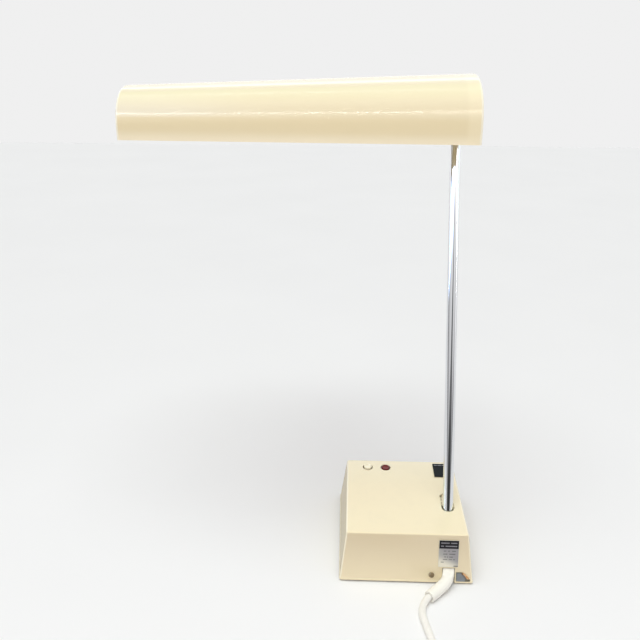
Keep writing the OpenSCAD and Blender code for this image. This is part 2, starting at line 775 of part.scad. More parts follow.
module clamp_screws() {
    color("gray") for (s = [-1, 1]) {
        translate([clamp_x + s * clamp_screw_x, clamp_y + clamp_l / 2, plate_top + clamp_foot_h]) {
            screw(small_screw_d, clamp_foot_h + small_depth - 0.2, small_head_d, small_head_h);
        }
    }
}

// Single wires in the base, from the terminals to the choke and to the clamp
wire_r = 1.1;
wire_rise = 3;
wire_side = 2;
module base_wires() {
    x0 = terminal_x + terminal_screw_x;
    x1 = terminal_x - terminal_screw_x;
    y0 = terminal_y + terminal_w / 2 + 0.4;
    z0 = plate_top + terminal_h / 2 - 1.5;
    choke_run = choke_y - core_w / 2 - 1 - y0;
    clamp_run = clamp_y - clamp_l - y0;
    color("royalblue") {
        cord_along([for (p = [[0, 0, 0], [0.2, 0, 0], [0.45, 0.5, 0.7], [0.7, 1, 1], [1, 1, 1]])
            [x0 - p[1] * wire_side, y0 + p[0] * choke_run, z0 + p[2] * wire_rise]], wire_r, 8);
        cord_along([for (p = [[0, 0, 0], [0.06, 0, 0], [0.2, 0.5, 0.3], [0.4, 0.5, 0.7], [0.75, 0.5, 1],
            [1, 0, 1]]) [x1 - p[1] * wire_side, y0 + p[0] * clamp_run, z0 + p[2] * wire_rise]], wire_r, 8);
    }
}

// Cover under the slot, which the stem takes along
module slot_cover() {
    color(cream) at_top(stem_x, stem_y) difference() {
        translate([-cover_w / 2, cover_shift - cover_reach, -cover_drop - cover_t / 2]) {
            cube([cover_w, 2 * cover_reach, cover_t]);
        }
        translate([0, cover_shift, 0]) {
            slot_shape(stem_d + 1, -cover_hole_l / 2, cover_hole_l / 2, -cover_drop - 2, -cover_drop + 2);
        }
    }
}

// Stem
spigot_l = 18;
stem_pin_s = foot_h + 9;
stem_pin_d = 3;
module stem_pin_bore() {
    at_stem(stem_pin_s) across(-stem_d) {
        cylinder(d = stem_pin_d + 2 * thread_gap, h = 2 * stem_d, $fn = fine);
    }
}
module stem_foot() {
    color("darkgray") difference() {
        union() {
            at_stem(0) across(-foot_w / 2) cylinder(r = foot_r, h = foot_w, $fn = fine);
            at_stem(0) cylinder(d = stem_d, h = foot_h, $fn = fine);
            at_stem(0) cylinder(d = stem_bore - 2 * thread_gap, h = foot_h + spigot_l, $fn = fine);
        }
        at_stem(0) across(-foot_w) cylinder(d = pivot_d + 2 * run_gap, h = 2 * foot_w, $fn = fine);
        stem_pin_bore();
    }
}
module stem_tube() {
    color("silver") difference() {
        at_stem(foot_h) cylinder(d = stem_d, h = stem_len, $fn = fine);
        at_stem(foot_h - 1) cylinder(d = stem_bore, h = stem_len + 2, $fn = fine);
        stem_pin_bore();
    }
}
module stem_pin() {
    color("gray") at_stem(stem_pin_s) across(-stem_d / 2) cylinder(d = stem_pin_d, h = stem_d, $fn = fine);
}
plug_l = 16;
collar_h = 2;
post_h = 11;
groove_s = foot_h + stem_len + collar_h + 5;
module stem_top_plug() {
    top = foot_h + stem_len;
    color("darkgray") difference() {
        union() {
            at_stem(top - plug_l) cylinder(d = stem_bore - 2 * thread_gap, h = plug_l + 0.5, $fn = fine);
            at_stem(top) cylinder(d = stem_d, h = collar_h, $fn = fine);
            at_stem(top) cylinder(d = swivel_post_d, h = collar_h + post_h, $fn = fine);
        }
        at_stem(groove_s - 1.6) difference() {
            cylinder(d = swivel_post_d + 2, h = 3.2, $fn = fine);
            translate([0, 0, -1]) cylinder(d = swivel_post_d - 1.6, h = 5.2, $fn = fine);
        }
        at_stem(top - plug_l - 1) cylinder(d = 4, h = plug_l + collar_h + post_h + 2, $fn = fine);
    }
}
module stem_wire() {
    color("whitesmoke") at_stem(foot_h + spigot_l + 6) {
        cylinder(d = 5, h = stem_len - spigot_l - plug_l - 12, $fn = fine);
    }
}

// Neck
module swivel_block() {
    low = foot_h + stem_len + collar_h + swivel_gap;
    high = reach - low;
    body_h = high - tongue_r - 0.7;
    color("darkgray") difference() {
        union() {
            at_stem(low) cylinder(d = swivel_d, h = body_h, $fn = fine);
            at_stem(low) intersection() {
                translate([-tongue_w / 2, -tongue_r, body_h - 1]) {
                    cube([tongue_w, 2 * tongue_r, high - body_h + 1]);
                }
                cylinder(r = tongue_r, h = high, $fn = fine);
            }
            at_stem(reach) across(-tongue_w / 2) cylinder(r = tongue_r, h = tongue_w, $fn = fine);
        }
        at_stem(low - 1) cylinder(d = swivel_post_d + 2 * run_gap, h = post_h + 1, $fn = fine);
        at_stem(reach) across(-tongue_w) cylinder(d = tilt_d + 2 * run_gap, h = 2 * tongue_w, $fn = fine);
        at_stem(groove_s) rotate([-90, 0, 0]) cylinder(d = 2.5 + 2 * thread_gap, h = swivel_d, $fn = fine);
    }
}
module swivel_screw() {
    tip = swivel_post_d / 2 - 0.5;
    color("dimgray") at_stem(groove_s) rotate([-90, 0, 0]) translate([0, 0, tip]) {
        difference() {
            cylinder(d = 2.5, h = swivel_d / 2 - tip, $fn = fine);
            translate([-2, -0.3, swivel_d / 2 - tip - 0.8]) cube([4, 0.6, 2]);
        }
    }
}
module tilt_bolt() {
    color("lightgray") translate([stem_x, tilt_y, tilt_z]) {
        across(-tilt_stack / 2 - 3) cylinder(d = 8 / cos(30), h = 3, $fn = 6);
        across(-tilt_stack / 2 - 0.5) cylinder(d = tilt_d, h = tilt_stack + 7, $fn = fine);
    }
}
module tilt_washers() {
    color("gray") translate([stem_x, tilt_y, tilt_z]) {
        across(-tilt_ear_in) washer(tilt_d + 2 * thread_gap, 13, tilt_washer_t - 0.05);
        across(tilt_ear_in - tilt_washer_t + 0.05) washer(tilt_d + 2 * thread_gap, 13, tilt_washer_t - 0.05);
    }
}
module tilt_nut() {
    color("lightgray") translate([stem_x, tilt_y, tilt_z]) {
        across(tilt_stack / 2) hex_nut(tilt_d + 2 * thread_gap, 8, 4);
    }
}
module shade_bracket() {
    ear_h = shade_flange_h - tilt_above_lip;
    flange_w = 42;
    color("gainsboro") difference() {
        at_shade() {
            translate([-9, -flange_w / 2, shade_flange_h]) cube([18, flange_w, tilt_ear_t]);
            for (x = [tilt_ear_in, -tilt_ear_in - tilt_ear_t]) translate([x, 0, tilt_above_lip]) {
                across(0) cylinder(r = tongue_r, h = tilt_ear_t, $fn = fine);
                translate([0, -tongue_r, 0]) cube([tilt_ear_t, 2 * tongue_r, ear_h + 0.5]);
            }
        }
        translate([stem_x, tilt_y, tilt_z]) across(-tilt_stack) {
            cylinder(d = tilt_d + 2 * thread_gap, h = 2 * tilt_stack, $fn = fine);
        }
        at_shade() for (s = [-1, 1]) translate([0, s * shade_screw_y, shade_flange_h - 1]) {
            cylinder(d = large_screw_d + 2 * run_gap, h = tilt_ear_t + 2, $fn = fine);
        }
    }
}
module shade_bracket_screws() {
    color("gray") at_shade() for (s = [-1, 1]) translate([0, s * shade_screw_y, shade_flange_h]) {
        rotate([180, 0, 0]) screw(large_screw_d, 12, large_head_d, large_head_h);
    }
}

// Shade: rings of the arch, from the stem end to the free end
function arch(u, inset, z0) =
    let(w = shade_half(u) - inset, h = shade_high(u) - inset, low = shade_side(u))
    let(n = 2 / shade_arch, x = shade_x0 + u)
    concat([[x, -w, z0]],
        [for (i = [0:arch_steps]) let(a = 180 * i / arch_steps, c = -cos(a))
            [x, w * sign(c) * pow(abs(c), n), low + (h - low) * pow(abs(sin(a)), n)]],
        [[x, w, z0]]);
edge_steps = [0, 0.13, 0.35, 0.65, 1];
function edge_in(d) = shade_edge_r - sqrt(max(0, pow(shade_edge_r, 2) - pow(shade_edge_r - d, 2)));
module shade_outside() {
    edge = [for (e = edge_steps) e * shade_edge_r];
    last = len(edge) - 1;
    loft(concat(
        [for (k = [0:last]) arch(edge[k], edge_in(edge[k]), 0)],
        [for (k = [last:-1:0]) arch(shade_l - edge[k], edge_in(edge[k]), 0)]));
}
module shade_inside() {
    loft([arch(shade_wall, shade_wall, -1), arch(shade_l - shade_wall, shade_wall, -1)]);
}
function crown(u) = shade_high(u) - 0.7 * shade_wall;
module shade_boss(u, y, low, d) {
    translate([shade_x0 + u, y, low]) difference() {
        cylinder(r = 4.5, h = crown(u) - low, $fn = fine);
        translate([0, 0, -1]) cylinder(d = d + 2 * thread_gap, h = crown(u) - low - 2, $fn = fine);
    }
}
module shade_shell() {
    color(cream) at_shade() {
        difference() {
            shade_outside();
            shade_inside();
        }
        for (s = [-1, 1]) {
            shade_boss(shade_overhang, s * shade_screw_y, shade_flange_h + tilt_ear_t, large_screw_d);
        }
        for (u = reflector_screw_u) shade_boss(u, 0, reflector_h + reflector_t, small_screw_d);
    }
}
module reflector() {
    half = reflector_flat / 2;
    wide = reflector_skirt / 2;
    t = reflector_t;
    low = reflector_skirt_h;
    color("white") at_shade() difference() {
        translate([reflector_x0, 0, 0]) rotate([90, 0, 90]) linear_extrude(reflector_x1 - reflector_x0) {
            polygon([[-wide - t, low], [-wide, low], [-half, reflector_h], [half, reflector_h], [wide, low],
                [wide + t, low], [half, reflector_h + t], [-half, reflector_h + t]]);
        }
        for (u = reflector_screw_u) translate([shade_x0 + u, 0, reflector_h - 1]) {
            cylinder(d = small_screw_d + 2 * run_gap, h = reflector_t + 2, $fn = fine);
        }
    }
}
module reflector_screws() {
    color("silver") at_shade() for (u = reflector_screw_u) translate([shade_x0 + u, 0, reflector_h]) {
        rotate([180, 0, 0]) screw(small_screw_d, reflector_screw_l, reflector_head_d, small_head_h);
    }
}

// Tubes
module each_tube(side) {
    at_shade() translate([tube_x0, side * tube_pitch / 2, tube_h]) children();
}
module tube_holders() {
    low = tube_h - holder_below;
    at_end = [-holder_t - hair, tube_l + hair];
    color("white") for (side = [-1, 1]) for (x = at_end) each_tube(side) difference() {
        translate([x, -holder_w / 2, low - tube_h]) cube([holder_t, holder_w, reflector_h - low]);
        for (s = [-1, 1]) translate([0, s * pin_pitch / 2, 0]) across(x - 1) {
            cylinder(d = pin_d + 0.3, h = holder_t + 2, $fn = fine);
        }
    }
}
module glass_tube() {
    difference() {
        across(cap_l) cylinder(d = tube_d, h = tube_l - 2 * cap_l, $fn = fine);
        across(cap_l - 1) cylinder(d = tube_d - 1.6, h = tube_l, $fn = fine);
    }
}
module tube_front() {
    color("white") each_tube(-1) glass_tube();
}
module tube_rear() {
    color("white") each_tube(1) glass_tube();
}
module tube_cap(flip) {
    mirror([flip, 0, 0]) {
        difference() {
            across(0) cylinder(d = tube_d, h = cap_l, $fn = fine);
            across(1) cylinder(d = tube_d - 1.6, h = cap_l, $fn = fine);
        }
        for (s = [-1, 1]) translate([0, s * pin_pitch / 2, 0]) across(-tube_pin_l) {
            cylinder(d = pin_d, h = tube_pin_l + 0.5, $fn = fine);
        }
    }
}
module tube_caps() {
    color("silver") for (side = [-1, 1]) each_tube(side) {
        tube_cap(0);
        translate([tube_l, 0, 0]) tube_cap(1);
    }
}
shade_wire_y = 13;
module shade_wires() {
    z = reflector_h + reflector_t + wire_r + 0.4;
    x0 = reflector_x0 + 4;
    run = reflector_run - 10;
    color("whitesmoke") at_shade() for (side = [-1, 1]) {
        cord_along([for (p = [[0, 0.7], [0.07, 0.92], [0.2, 1], [0.5, 1], [1, 0.92]])
            [x0 + p[0] * run, side * p[1] * shade_wire_y, z]], wire_r, 8);
    }
}

// Cord, its sleeve and its plug
module sleeve_ring_wall(p) {
    m = len(p);
    n = 12;
    outer = [for (i = [0:m - 1]) ring(p[i], heading(p, i), sleeve_d / 2, n)];
    inner = [for (i = [0:m - 1]) ring(p[i], heading(p, i), sleeve_bore / 2, n)];
    points = concat([for (r = outer) for (q = r) q], [for (r = inner) for (q = r) q]);
    out_faces = wall_faces(m, n);
    in_faces = [for (f = wall_faces(m, n, m * n)) [f[2], f[1], f[0]]];
    function end_faces(i, flip) = [for (k = [0:n - 1]) for (half = [0, 1])
        let(a = i * n + k, b = i * n + (k + 1) % n, c = a + m * n, d = b + m * n,
            f = half == 0 ? [a, c, d] : [a, d, b])
        flip ? [f[2], f[1], f[0]] : f];
    polyhedron(points, concat(out_faces, in_faces, end_faces(0, false), end_faces(m - 1, true)), 6);
}
module cord_sleeve() {
    color("white") sleeve_ring_wall([for (i = [1:sleeve_last]) lead_route[i]]);
}
module cord_lead() {
    color("white") cord_along(lead_route, cord_r, 8);
}
module cord_coil() {
    color("white") cord_along(coil_route, cord_r, 6);
}
module cord_tail() {
    color("white") cord_along(tail_route, cord_r, 8);
}
plug_face = 50;
plug_r = 18.5;
plug_pin_d = 4.8;
plug_pin_y = 9.5;
plug_pin_in = 8;
plug_pin_out = 19;
contact_l = 15.8;
contact_w = 5;
contact_t = 0.7;
contact_in = 0.8;
module plug_body() {
    color("white") translate(plug_start) difference() {
        intersection() {
            rotate([0, 90, 0]) rotate_extrude($fn = fine) polygon([[0, 0], [5.2, 0], [6.4, 14], [9, 17],
                [14, 22], [plug_r - 1, 34], [plug_r, 36], [plug_r, plug_face - 1], [plug_r - 1, plug_face],
                [0, plug_face]]);
            translate([-1, -plug_r - 1, -plug_h]) cube([plug_face + 2, 2 * plug_r + 2, 2 * plug_h]);
        }
        for (s = [-1, 1]) {
            translate([plug_face - contact_l - 0.2, -4, s * plug_h - 1.2]) cube([contact_l + 1.2, 8, 2.4]);
            translate([0, s * plug_pin_y, 0]) across(plug_face - plug_pin_in) {
                cylinder(d = plug_pin_d + 2 * thread_gap, h = plug_pin_in + 1, $fn = fine);
            }
        }
    }
}
module plug_pins() {
    color("silver") translate(plug_start) for (s = [-1, 1]) translate([0, s * plug_pin_y, 0]) {
        across(plug_face - plug_pin_in) cylinder(d = plug_pin_d, h = plug_pin_in + plug_pin_out, $fn = fine);
    }
}
module plug_contacts() {
    color("silver") translate(plug_start) for (s = [-1, 1]) {
        translate([plug_face - contact_l, -contact_w / 2, s * (plug_h - contact_in) - contact_t / 2]) {
            cube([contact_l, contact_w, contact_t]);
        }
    }
}

base_pad();
base_plate();
base_housing();
housing_screws();
rating_label();
name_plate();
foil_sticker();
pivot_bracket();
bracket_screws();
pivot_bolt();
pivot_washers();
pivot_nut();
choke_core();
choke_coil();
choke_strap();
choke_screws();
switch_body();
switch_screws();
switch_contacts();
start_spring();
stop_spring();
terminal_block();
terminal_screws();
cord_clamp();
clamp_screws();
base_wires();
slot_cover();
start_button();
stop_button();
stem_foot();
stem_tube();
stem_pin();
stem_top_plug();
stem_wire();
swivel_block();
swivel_screw();
tilt_bolt();
tilt_washers();
tilt_nut();
shade_bracket();
shade_bracket_screws();
shade_shell();
reflector();
reflector_screws();
tube_holders();
tube_front();
tube_rear();
tube_caps();
shade_wires();
cord_sleeve();
cord_lead();
cord_coil();
cord_tail();
plug_body();
plug_pins();
plug_contacts();
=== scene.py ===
import math

import bmesh
import bpy
from mathutils import Matrix, Vector


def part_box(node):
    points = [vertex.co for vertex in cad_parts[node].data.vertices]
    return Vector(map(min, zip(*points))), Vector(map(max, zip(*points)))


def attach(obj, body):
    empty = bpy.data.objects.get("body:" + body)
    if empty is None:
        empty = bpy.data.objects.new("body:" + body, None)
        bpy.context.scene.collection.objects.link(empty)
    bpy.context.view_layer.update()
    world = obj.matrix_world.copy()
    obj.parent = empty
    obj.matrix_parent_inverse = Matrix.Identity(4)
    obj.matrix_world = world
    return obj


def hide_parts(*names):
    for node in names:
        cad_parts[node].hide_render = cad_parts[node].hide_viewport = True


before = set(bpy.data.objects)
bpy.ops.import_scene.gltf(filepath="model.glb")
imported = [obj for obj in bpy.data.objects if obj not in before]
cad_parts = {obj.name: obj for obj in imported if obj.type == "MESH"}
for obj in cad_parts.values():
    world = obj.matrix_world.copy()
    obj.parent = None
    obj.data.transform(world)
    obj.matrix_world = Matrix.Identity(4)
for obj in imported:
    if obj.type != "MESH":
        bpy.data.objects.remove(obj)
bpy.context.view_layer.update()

MM = 0.001
scene = bpy.context.scene


# Camera: the photograph's place, lens and tilt

CAMERA_PLACE = Vector((74.95, 714.55, 552.25)) * MM
CAMERA_HEADING = (0.0354, -0.9994)
CAMERA_PITCH = math.radians(20.693)
CAMERA_ROLL = math.radians(0.248)
LENS_PX = 700
PHOTO_PX = 640
SENSOR_MM = 36.0


def make_camera():
    data = bpy.data.cameras.new("photo_camera")
    data.sensor_width = SENSOR_MM
    data.lens = SENSOR_MM * LENS_PX / PHOTO_PX
    data.clip_start = 0.01
    camera = bpy.data.objects.new("photo_camera", data)
    scene.collection.objects.link(camera)
    forward = Vector((
        CAMERA_HEADING[0] * math.cos(CAMERA_PITCH),
        CAMERA_HEADING[1] * math.cos(CAMERA_PITCH),
        -math.sin(CAMERA_PITCH),
    ))
    turn = forward.to_track_quat("-Z", "Y").to_matrix().to_4x4()
    roll = Matrix.Rotation(CAMERA_ROLL, 4, "Z")
    camera.matrix_world = Matrix.Translation(CAMERA_PLACE) @ turn @ roll
    scene.camera = camera


make_camera()

# Sizes of the part, in millimetres, as in its source

BASE_W = 150.0
BASE_D = 164.0
BASE_H_REAR = 60.0
BASE_H_FRONT = 69.0
SIDE_DRAFT = 0.12
REAR_DRAFT = 0.15
FRONT_DRAFT = 0.3
BASE_R = 3.0
BASE_WALL = 2.5
PAD_T = 2.0
TOP_Y_REAR = BASE_D / 2 - REAR_DRAFT * (BASE_H_REAR - PAD_T)
TOP_Y_FRONT = -BASE_D / 2 + FRONT_DRAFT * (BASE_H_FRONT - PAD_T)
TOP_TAN = (BASE_H_FRONT - BASE_H_REAR) / (TOP_Y_REAR - TOP_Y_FRONT)
TOP_SLOPE = math.atan(TOP_TAN)
REAR_LEAN = math.atan(REAR_DRAFT)
FRONT_LEAN = math.atan(FRONT_DRAFT)

STEM_X = -50.0
STEM_Y = 26.0
PIVOT_H = 22.0
STEM_LEAN = math.radians(19.1)
STEM_REACH = 490.0
TILT_ABOVE_LIP = 20.5

SLOT_W = 15.0
SLOT_FRONT = 25.4
SLOT_REAR = 8.4
BUTTON_Y = -46.9
RED_X = 18.5
WHITE_X = 40.8
BUTTON_HOLE_R = 6.2
RAIL_X = 10.8
RAIL_LOW = -4.3
RAIL_Y = (-51.0, 32.0)
POST_OUT = 14.0
SCREW_Z = 11.3
SCREW_HEAD_R = 3.1
SCREW_HOLE_R = 1.53
REAR_SCREW_X = -28.0
CLAMP_X = -47.0
LABEL_X = CLAMP_X + 1.0
LABEL_Z = 37.5
FOIL_X = CLAMP_X - 16.0
FOIL_Z = 9.8
NAME_PLATE_Y = -42.6
SLEEVE_HIGH = 12.8
NOTCH_W = 14.0
NOTCH_H = 19.9
FOOT_BEAD = 0.45

SHADE_L = 395.0
SHADE_OVERHANG = 18.0
SHADE_HALF = (75.0, 54.5)
SHADE_HIGH = (69.7, 55.5)
SHADE_SIDE = (14.0, 11.0)
SHADE_ARCH = 2.35
SHADE_WALL = 2.5
SHADE_EDGE_R = 2.4
SHADE_STEPS = 96
REFLECTOR_SCREWS = (71.2, 215.85, 360.5)

CORD_R = 3.8
CORD_SKIN_R = 3.78
CORD_STEP = 0.4
CORD_LEN = 1800.0
SLEEVE_R = 6.5
SLEEVE_BORE_R = 4.3
SLEEVE_SIDES = 96
SLEEVE_SQUARE = 10.0
SLEEVE_SQUARE_RUN = 2.5
SLEEVE_ROUND_RUN = 11.0
COIL_TURNS = 6.25
COIL_PITCH = 8.3
TAIL_RUN = 40.0
PLUG_H = 13.5
PLUG_PIN_Y = 9.5


def top_z(y):
    return BASE_H_REAR + (TOP_Y_REAR - y) * TOP_TAN


def rear_y(z):
    return BASE_D / 2 - REAR_DRAFT * (z - PAD_T)


def front_y(z):
    return -BASE_D / 2 + FRONT_DRAFT * (z - PAD_T)


def side_x(z):
    return BASE_W / 2 - SIDE_DRAFT * (z - PAD_T)


PIVOT_Y = STEM_Y + (top_z(STEM_Y) - PIVOT_H) * math.tan(STEM_LEAN)
TILT_Y = PIVOT_Y - STEM_REACH * math.sin(STEM_LEAN)
LIP_Z = PIVOT_H + STEM_REACH * math.cos(STEM_LEAN) - TILT_ABOVE_LIP


def on_top(x, y):
    return Matrix.Translation((x, y, top_z(y))) @ Matrix.Rotation(-TOP_SLOPE, 4, "X")


def on_rear(x, z):
    lean = Matrix.Rotation(REAR_LEAN - math.pi / 2, 4, "X")
    return Matrix.Translation((x, rear_y(z), z)) @ lean


def on_front(x, z):
    lean = Matrix.Rotation(math.pi / 2 - FRONT_LEAN, 4, "X")
    return Matrix.Translation((x, front_y(z), z)) @ lean


IN_SHADE = Matrix.Translation((STEM_X, TILT_Y, LIP_Z))
ON_SLOT = on_top(STEM_X, STEM_Y)
SCREW_PLACES = (on_rear(REAR_SCREW_X, SCREW_Z), on_front(0, SCREW_Z))


# Tools that shape meshes, which are made in millimetres and kept in metres


def finish_shape(shape, name, place=None):
    """An object from a shape in millimetres."""
    if place is not None:
        bmesh.ops.transform(shape, matrix=place, verts=shape.verts)
    bmesh.ops.scale(shape, vec=(MM, MM, MM), verts=shape.verts)
    bmesh.ops.recalc_face_normals(shape, faces=shape.faces)
    mesh = bpy.data.meshes.new(name)
    shape.to_mesh(mesh)
    shape.free()
    piece = bpy.data.objects.new(name, mesh)
    scene.collection.objects.link(piece)
    return piece


def settle(piece):
    """Applies the piece's modifiers to its mesh."""
    depsgraph = bpy.context.evaluated_depsgraph_get()
    mesh = bpy.data.meshes.new_from_object(piece.evaluated_get(depsgraph))
    piece.modifiers.clear()
    piece.data = mesh
    mesh.name = piece.name


def smooth(piece, angle):
    """Smooth shading that stays flat on flat faces."""
    for face in piece.data.polygons:
        face.use_smooth = True
    piece.data.set_sharp_from_angle(angle=math.radians(angle))
    weighted = piece.modifiers.new("even_normals", "WEIGHTED_NORMAL")
    weighted.keep_sharp = True
    settle(piece)


def carve(piece, cutters, operation="DIFFERENCE"):
    """Cuts each cutter out of the piece, or adds it, and removes the cutters."""
    for cutter in cutters:
        step = piece.modifiers.new("carve", "BOOLEAN")
        step.operation = operation
        step.solver = "EXACT"
        step.object = cutter
    settle(piece)
    for cutter in cutters:
        bpy.data.objects.remove(cutter)


def merge_flat(piece, angle=0.05):
    """Joins faces that lie in one plane, which the cuts left in strips."""
    shape = bmesh.new()
    shape.from_mesh(piece.data)
    bmesh.ops.remove_doubles(shape, verts=shape.verts, dist=1e-7)
    bmesh.ops.dissolve_limit(
        shape, angle_limit=math.radians(angle), verts=shape.verts, edges=shape.edges,
        use_dissolve_boundaries=False,
    )
    shape.to_mesh(piece.data)
    shape.free()


def round_edges(piece, wanted, size, steps=3):
    """Rounds the edges for which wanted(start, end) holds, in millimetres."""
    shape = bmesh.new()
    shape.from_mesh(piece.data)
    chosen = [
        edge for edge in shape.edges
        if not edge.is_boundary and wanted(*(v.co / MM for v in edge.verts))
    ]
    bmesh.ops.bevel(
        shape, geom=chosen, offset=size * MM, offset_type="OFFSET", segments=steps, profile=0.5,
        affect="EDGES", clamp_overlap=True,
    )
    shape.to_mesh(piece.data)
    shape.free()


def cylinder(r, low, high, place, sides=64):
    shape = bmesh.new()
    bmesh.ops.create_cone(
        shape, cap_ends=True, segments=sides, radius1=r, radius2=r, depth=high - low,
        matrix=Matrix.Translation((0, 0, (high + low) / 2)),
    )
    return finish_shape(shape, "cylinder", place)


def block(corner, opposite, place=None):
    """A box between two opposite corners."""
    low = Vector([min(pair) for pair in zip(corner, opposite)])
    high = Vector([max(pair) for pair in zip(corner, opposite)])
    shape = bmesh.new()
    bmesh.ops.create_cube(shape, size=1)
    bmesh.ops.scale(shape, vec=high - low, verts=shape.verts)
    bmesh.ops.translate(shape, vec=(high + low) / 2, verts=shape.verts)
    return finish_shape(shape, "block", place)


def loft(rings, name, place=None, closed=False):
    """A skin through rings of as many points each, with its ends filled unless it is closed."""
    shape = bmesh.new()
    rows = [[shape.verts.new(p) for p in ring] for ring in rings]
    count = len(rings[0])
    pairs = list(zip(rows, rows[1:])) + ([(rows[-1], rows[0])] if closed else [])
    for a, b in pairs:
        for k in range(count):
            n = (k + 1) % count
            shape.faces.new((a[k], a[n], b[n], b[k]))
    if not closed:
        shape.faces.new(rows[0][::-1])
        shape.faces.new(rows[-1])
    return finish_shape(shape, name, place)


def prism(outline, low, high, place):
    return loft([[(x, y, z) for x, y in outline] for z in (low, high)], "prism", place)


def round_rectangle(x, y0, y1, r, steps=8):
    """Outline of a rectangle with round corners, from -x to x and from y0 to y1."""
    outline = []
    for cx, cy, start in (
        (x - r, y1 - r, 0), (r - x, y1 - r, 90), (r - x, y0 + r, 180), (x - r, y0 + r, 270),
    ):
        for k in range(steps + 1):
            a = math.radians(start + 90 * k / steps)
            outline.append((cx + r * math.cos(a), cy + r * math.sin(a)))
    return outline


def stadium(half_w, y0, y1, steps=24):
    """Outline of a slot with round ends."""
    outline = []
    for middle, start in ((y1 - half_w, 0.0), (y0 + half_w, math.pi)):
        for k in range(steps + 1):
            a = start + math.pi * k / steps
            outline.append((half_w * math.cos(a), middle + half_w * math.sin(a)))
    return outline


def lathe(profile, name, place, sides):
    """A turned shape about +Z from (radius, height) points; a radius of 0 closes an end."""
    shape = bmesh.new()
    turns = [2 * math.pi * k / sides for k in range(sides)]
    rows = []
    for r, z in profile:
        points = [(r * math.cos(a), r * math.sin(a), z) for a in turns] if r else [(0, 0, z)]
        rows.append([shape.verts.new(p) for p in points])
    for a, b in zip(rows, rows[1:]):
        for k in range(sides):
            n = (k + 1) % sides
            if len(a) == 1:
                shape.faces.new((a[0], b[n], b[k]))
            elif len(b) == 1:
                shape.faces.new((a[k], a[n], b[0]))
            else:
                shape.faces.new((a[k], a[n], b[n], b[k]))
    return finish_shape(shape, name, place)


def curve_through(points, per_span):
    """A smooth line through the points."""
    line = [Vector(p) for p in points]
    ends = [line[0] * 2 - line[1]] + line + [line[-1] * 2 - line[-2]]
    out = []
    for i in range(1, len(ends) - 2):
        p0, p1, p2, p3 = ends[i - 1:i + 3]
        for k in range(per_span):
            t = k / per_span
            out.append(0.5 * (
                2 * p1 + (p2 - p0) * t + (2 * p0 - 5 * p1 + 4 * p2 - p3) * t ** 2
                + (3 * p1 - p0 - 3 * p2 + p3) * t ** 3
            ))
    out.append(line[-1])
    return out


def ring_round(centre, heading, radii):
    """Points round a line that runs along heading, one for each radius."""
    side = heading.cross(Vector((0, 0, 1))).normalized()
    up = side.cross(heading)
    turns = [2 * math.pi * k / len(radii) for k in range(len(radii))]
    return [centre + r * (math.cos(a) * side + math.sin(a) * up) for r, a in zip(radii, turns)]


def headings(line):
    """Direction of the line at each of its points."""
    last = len(line) - 1
    return [(line[min(i + 1, last)] - line[max(i - 1, 0)]).normalized() for i in range(last + 1)]


def join(parts, name):
    """One piece from several; the parts are removed."""
    shape = bmesh.new()
    for part in parts:
        shape.from_mesh(part.data)
        bpy.data.objects.remove(part)
    bmesh.ops.remove_doubles(shape, verts=shape.verts, dist=1e-7)
    bmesh.ops.scale(shape, vec=(1 / MM, 1 / MM, 1 / MM), verts=shape.verts)
    piece = finish_shape(shape, name)
    smooth(piece, 35)
    return piece


# Route of the cord, as in the part's source


def eased(a):
    a = max(0.0, min(1.0, a))
    return a * a * (3 - 2 * a)


def cord_route():
    """Points of the free stretch, the coil and the tail, in millimetres."""
    free = [
        (0, -14, SLEEVE_HIGH), (0, -5.2, SLEEVE_HIGH), (0, -3.5, SLEEVE_HIGH - 0.1),
        (0.5, 0, SLEEVE_HIGH - 0.6), (1.8, 4.2, SLEEVE_HIGH - 1.4), (4, 8, SLEEVE_HIGH - 2.4),
        (7, 11.6, SLEEVE_R + 2.8), (13.5, 17.7, SLEEVE_R + 1.2), (19.5, 23.2, SLEEVE_R + 0.3),
        (24.2, 27.6, SLEEVE_R), (28.3, 32.3, SLEEVE_R - 0.9), (31.9, 39.2, CORD_R + 0.8),
        (33.4, 46.9, CORD_R + 0.2), (33.1, 54.7, CORD_R), (32, 61.5, CORD_R), (29.6, 74.4, CORD_R),
        (27.2, 87, CORD_R), (25.4, 99, CORD_R), (24.4, 110, CORD_R), (24, 121, CORD_R),
        (24, 137, CORD_R), (24, 155, CORD_R),
    ]
    corner = Vector((CLAMP_X, BASE_D / 2, 0))
    free = [Vector(p) + corner for p in free]
    free_len = sum((b - a).length for a, b in zip(free, free[1:]))
    straight = 2 * CORD_R
    wound = CORD_LEN - free_len - TAIL_RUN - 2 * straight
    mid_r = wound / (2 * math.pi * COIL_TURNS)
    layer = COIL_TURNS / 2
    out_r = mid_r + COIL_PITCH * layer / 2
    in_r = mid_r - COIL_PITCH * layer / 2
    centre = Vector((free[-1].x + out_r, free[-1].y + straight, 0))

    def wound_point(t):
        r = in_r + COIL_PITCH * abs(t - layer)
        a = math.pi - 2 * math.pi * t
        z = CORD_R + COIL_PITCH * eased(2 * (t - layer) + 0.5)
        return centre + Vector((r * math.cos(a), r * math.sin(a), z))

    steps = int(COIL_TURNS * 48)
    coil = [wound_point(COIL_TURNS * k / steps) for k in range(steps + 1)]
    start = coil[-1] + Vector((straight, 0, 0))
    rise = PLUG_H - start.z
    tail = [start + Vector((TAIL_RUN * k / 6, 0, rise * eased((k - 1) / 4))) for k in range(7)]
    return free, coil, tail


FREE, COIL, TAIL = cord_route()
SLEEVE_LAST = 9
PLUG_START = TAIL[-1]
WHOLE = curve_through(FREE, 6)[:-1] + [FREE[-1]] + COIL + curve_through(TAIL, 3)


